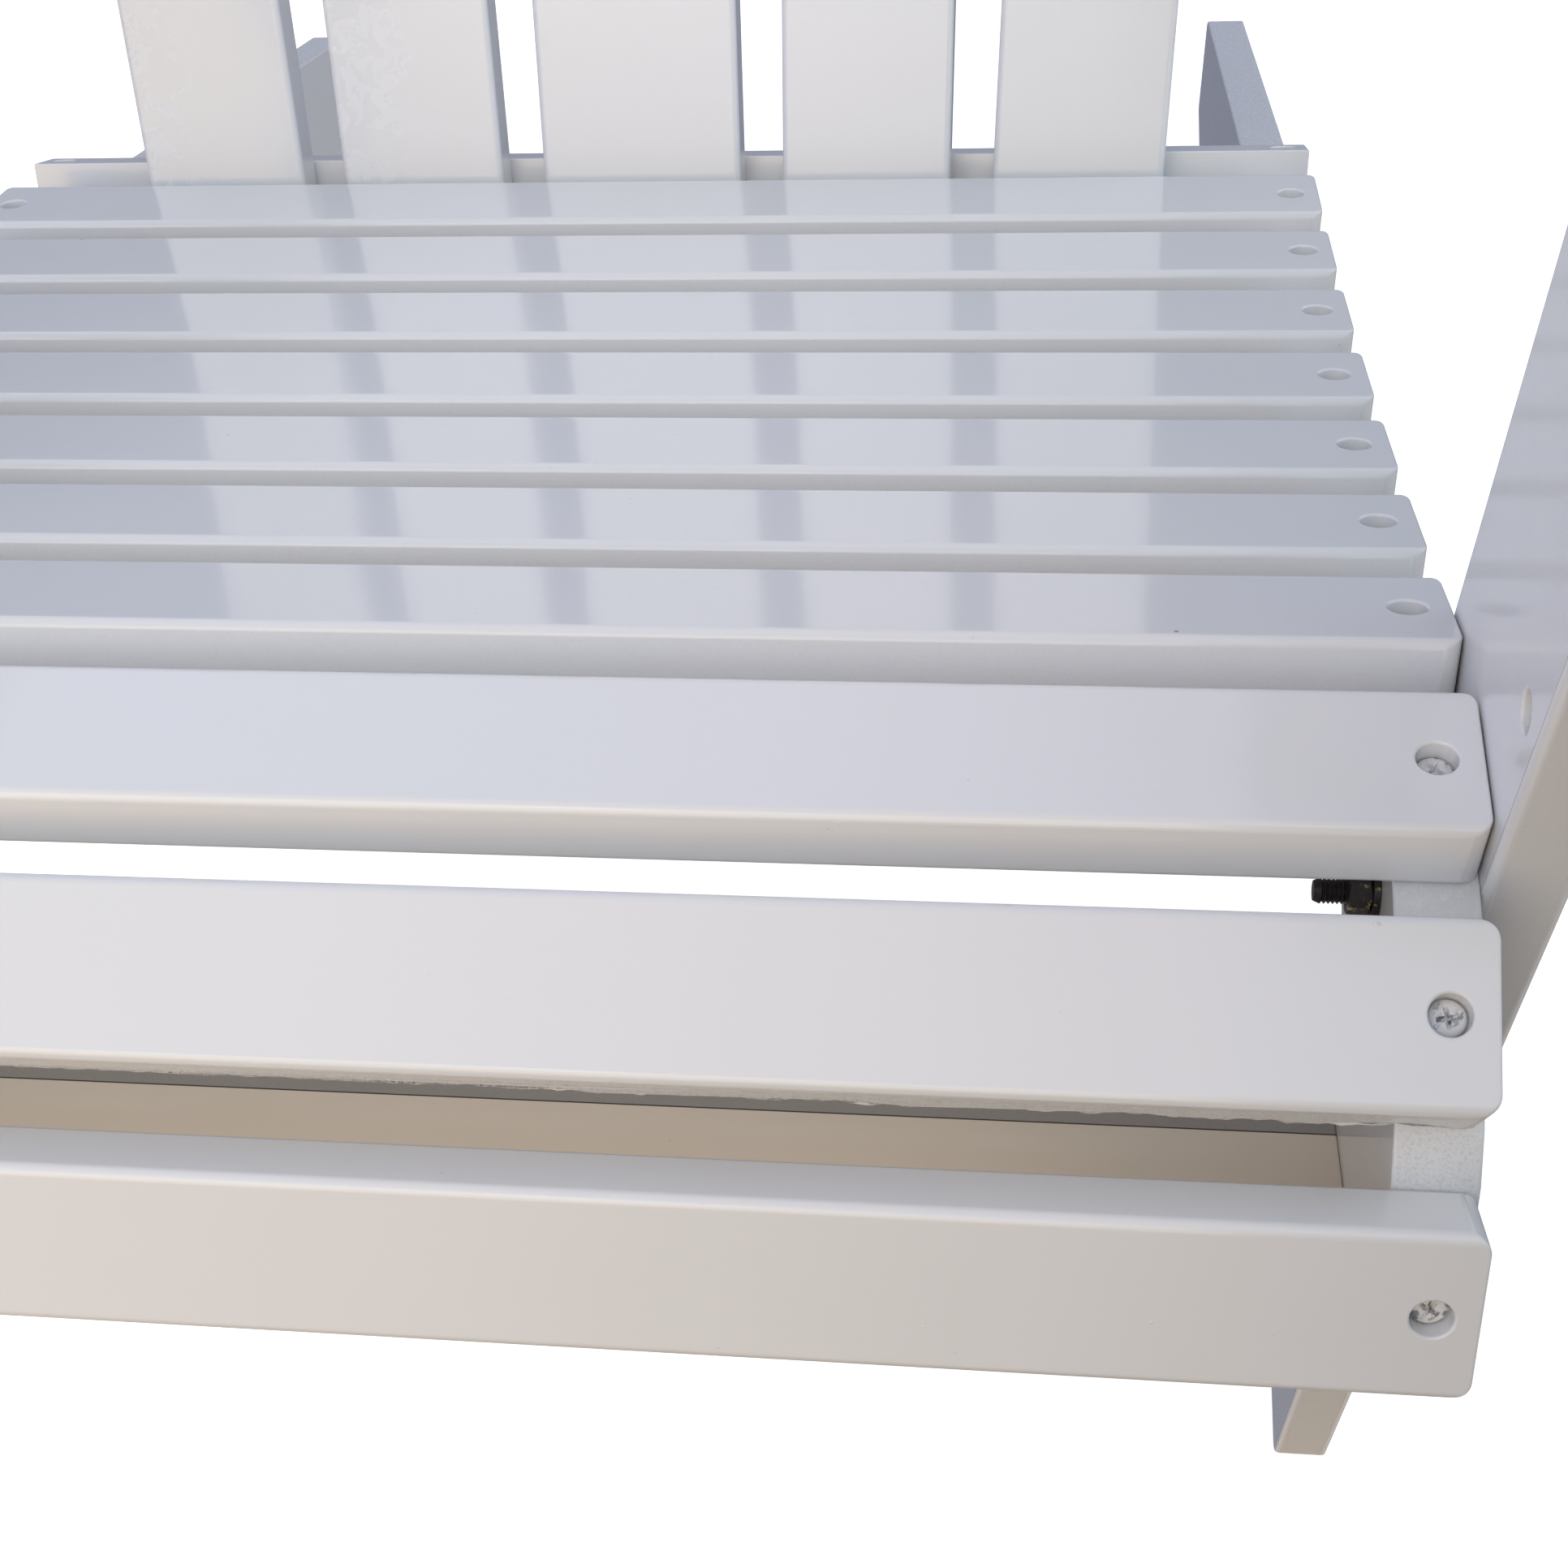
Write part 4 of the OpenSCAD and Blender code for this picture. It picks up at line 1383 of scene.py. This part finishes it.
@dataclass
class Studio:
    """A white sweep, a soft sky that is warm in front and cool behind, the lamps and the camera."""

    focus: Vector
    leg_front: float
    lens: float = 47.72
    shift_y: float = 0.121
    yaw: float = 12.90
    pitch: float = 58.47
    roll: float = -9.02
    camera_x: float = 0.1631
    camera_back: float = 0.2569
    camera_z: float = 0.7680
    zenith: Colour = (0.92, 0.88, 0.92, 1.0)
    high: Band = Band(
        front=(1.97, 2.05, 2.22, 1.0),
        right=(0.35, 0.61, 0.74, 1.0),
        rear=(0.71, 0.75, 0.96, 1.0),
        left=(0.67, 0.66, 0.72, 1.0),
    )
    low: Band = Band(
        front=(2.13, 1.61, 0.98, 1.0),
        right=(1.14, 1.26, 1.56, 1.0),
        rear=(0.84, 0.83, 0.88, 1.0),
        left=(0.02, 0.25, 0.81, 1.0),
    )
    ground: Band = Band(
        front=(0.15, 0.12, 0.08, 1.0),
        right=(0.55, 0.48, 0.42, 1.0),
        rear=(0.14, 0.16, 0.22, 1.0),
        left=(0.55, 0.50, 0.46, 1.0),
    )
    lamps: tuple[Softbox, ...] = (
        Softbox("key_softbox", at=(-0.9, -2.3, 2.0), size=1.5, power=3.4, tint=(1.0, 0.82, 0.36)),
        Softbox("edge_light", at=(-0.5, -1.9, 1.9), size=0.16, power=0.5, tint=(1.0, 0.90, 0.78)),
    )
    flag_at: Place = (0.52, -0.78, 0.63)
    flag_wide: float = 0.62
    flag_tall: float = 1.0
    strip_long: float = 0.36
    strip_wide: float = 12.0 * MM
    strip_drop: float = 5.0 * MM
    strip_power: float = 0.026
    strip_tint: Place = (1.0, 0.92, 0.82)
    floor_half: float = 14.0
    floor_drop: float = 0.3 * MM
    floor_glow: float = 0.62
    shell_radius: float = 16.0

    def build(self) -> None:
        """Builds the stage, the lights and the camera."""
        self._floor()
        self._backdrop()
        self._sky()
        self._flag()
        for box in self.lamps:
            lamp = self._lamp(box.name, box.size, box.power, box.tint)
            lamp.location = self.focus + Vector(box.at)
            lamp.rotation_euler = (-Vector(box.at)).to_track_quat("-Z", "Y").to_euler()
        self._slot_light()
        self._camera()
        bpy.context.scene.view_settings.view_transform = "Standard"

    def _floor(self) -> None:
        """A pale floor that keeps its own bounce out of the paint."""
        bm = bmesh.new()
        bmesh.ops.create_grid(bm, x_segments=1, y_segments=1, size=self.floor_half)
        bmesh.ops.translate(bm, vec=(0.0, 0.0, -self.floor_drop), verts=bm.verts)
        floor = fresh_object("studio_floor", bm)
        material, g = new_material("pale_floor")
        place = g.object_place()
        tone = g.mix(g.noise(place, 2.0, 4.0), (0.80, 0.80, 0.80, 1.0), (0.84, 0.84, 0.84, 1.0))
        constants = {"Emission Color": WHITE, "Emission Strength": self.floor_glow, "IOR": 1.3}
        surface(g, {"Base Color": tone}, {**constants, "Roughness": 0.9})
        floor.data.materials.append(material)
        floor.visible_diffuse = False
        floor.visible_glossy = False

    def _backdrop(self) -> None:
        """A white shell that only the camera sees."""
        bm = bmesh.new()
        bmesh.ops.create_icosphere(bm, subdivisions=4, radius=self.shell_radius)
        bmesh.ops.reverse_faces(bm, faces=bm.faces)
        shell = fresh_object("studio_backdrop", bm)
        material, g = new_material("white_backdrop")
        glow = g.node("ShaderNodeEmission", {}, {"Color": WHITE, "Strength": 1.0})
        g.node("ShaderNodeOutputMaterial", {}, {"Surface": glow})
        shell.data.materials.append(material)
        shell.visible_diffuse = False
        shell.visible_glossy = False
        shell.visible_transmission = False
        shell.visible_shadow = False

    def _sky(self) -> None:
        """Three bands round the chair under one zenith."""
        world = bpy.data.worlds.new("soft_sky")
        bpy.context.scene.world = world
        world.use_nodes = True
        g = Graph(world.node_tree)
        ray = g.node("ShaderNodeTexCoord", {}, output="Generated")
        level = g.vector("NORMALIZE", g.vector("MULTIPLY", ray, (1.0, 1.0, 0.0)), (0.0, 0.0, 0.0))
        across, depth, height = g.part(level, "X"), g.part(level, "Y"), g.part(ray, "Z")
        ground, low, high = (band.mixed(g, across, depth) for band in (self.ground, self.low, self.high))
        sky = g.mix(height.above(0.02, 0.09), ground, low)
        sky = g.mix(height.above(0.42, 0.52), sky, high)
        sky = g.mix(height.above(0.83, 0.90), sky, self.zenith)
        glow = g.node("ShaderNodeBackground", {}, {"Color": sky, "Strength": 1.0})
        g.node("ShaderNodeOutputWorld", {}, {"Surface": glow})

    def _slot_light(self) -> None:
        """A strip under the nose slat that lights the stretcher."""
        low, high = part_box("nose_slat")
        lamp = self._lamp("slot_light", self.strip_long, self.strip_power, self.strip_tint)
        lamp.data.shape = "RECTANGLE"
        lamp.data.size_y = self.strip_wide
        lamp.location = (0.0, (low.y + high.y) / 2, low.z - self.strip_drop)

    def _flag(self) -> None:
        """A dark card beside the camera that shades the right front of the chair."""
        bm = bmesh.new()
        bmesh.ops.create_grid(bm, x_segments=1, y_segments=1, size=0.5)
        away = Vector(self.flag_at) - self.focus
        away.z = 0.0
        turn = away.to_track_quat("Z", "Y").to_matrix().to_4x4()
        size = Matrix.Diagonal((self.flag_wide, self.flag_tall, 1.0, 1.0))
        bmesh.ops.transform(bm, matrix=Matrix.Translation(self.flag_at) @ turn @ size, verts=bm.verts)
        card = fresh_object("studio_flag", bm)
        material, g = new_material("flag_cloth")
        surface(g, {}, {"Base Color": (0.03, 0.03, 0.03, 1.0), "Roughness": 0.9})
        card.data.materials.append(material)
        card.visible_camera = False

    @staticmethod
    def _lamp(name: str, size: float, power: float, tint: Place) -> Piece:
        """Adds an area lamp at the origin.

        Args:
            name: Name of the lamp.
            size: Its side.
            power: Its power in watts.
            tint: Its colour.

        Returns:
            The lamp.
        """
        data = bpy.data.lights.new(name, "AREA")
        data.size = size
        data.energy = power
        data.color = tint
        lamp = bpy.data.objects.new(name, data)
        bpy.context.scene.collection.objects.link(lamp)
        return lamp

    def _camera(self) -> None:
        """The view over the seat from the front right."""
        yaw, pitch, roll = (math.radians(a) for a in (self.yaw, self.pitch, self.roll))
        ahead = Vector((-math.sin(yaw), math.cos(yaw), 0.0))
        forward = ahead * math.cos(pitch) - Vector((0.0, 0.0, math.sin(pitch)))
        level = Vector((math.cos(yaw), math.sin(yaw), 0.0))
        rise = level.cross(forward)
        right = level * math.cos(roll) + rise * math.sin(roll)
        top = rise * math.cos(roll) - level * math.sin(roll)
        data = bpy.data.cameras.new("camera")
        data.lens = self.lens
        data.shift_y = self.shift_y
        data.clip_start = 0.01
        data.clip_end = 60.0
        camera = bpy.data.objects.new("camera", data)
        bpy.context.scene.collection.objects.link(camera)
        place = Vector((self.camera_x, self.leg_front - self.camera_back, self.camera_z))
        basis = Matrix((right, top, -forward)).transposed().to_4x4()
        camera.matrix_world = Matrix.Translation(place) @ basis
        bpy.context.scene.camera = camera


def main() -> None:
    """Builds the studio and then the chair's looks on the frame."""
    logging.basicConfig(level=logging.INFO, format="%(name)s: %(message)s")
    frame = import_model()
    Studio(focus=Vector((0.0, 0.0, SEAT_HIGH)), leg_front=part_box("right_front_leg")[0].y).build()
    joiner = Joiner(frame)
    boards = (SeatDeck(joiner), SideFrames(joiner), Backrest(joiner), Arms(joiner))
    for assembly in (*boards, Fasteners(frame)):
        LOG.info("building %s", type(assembly).__name__)
        assembly.build()


if __name__ == "__main__":
    main()
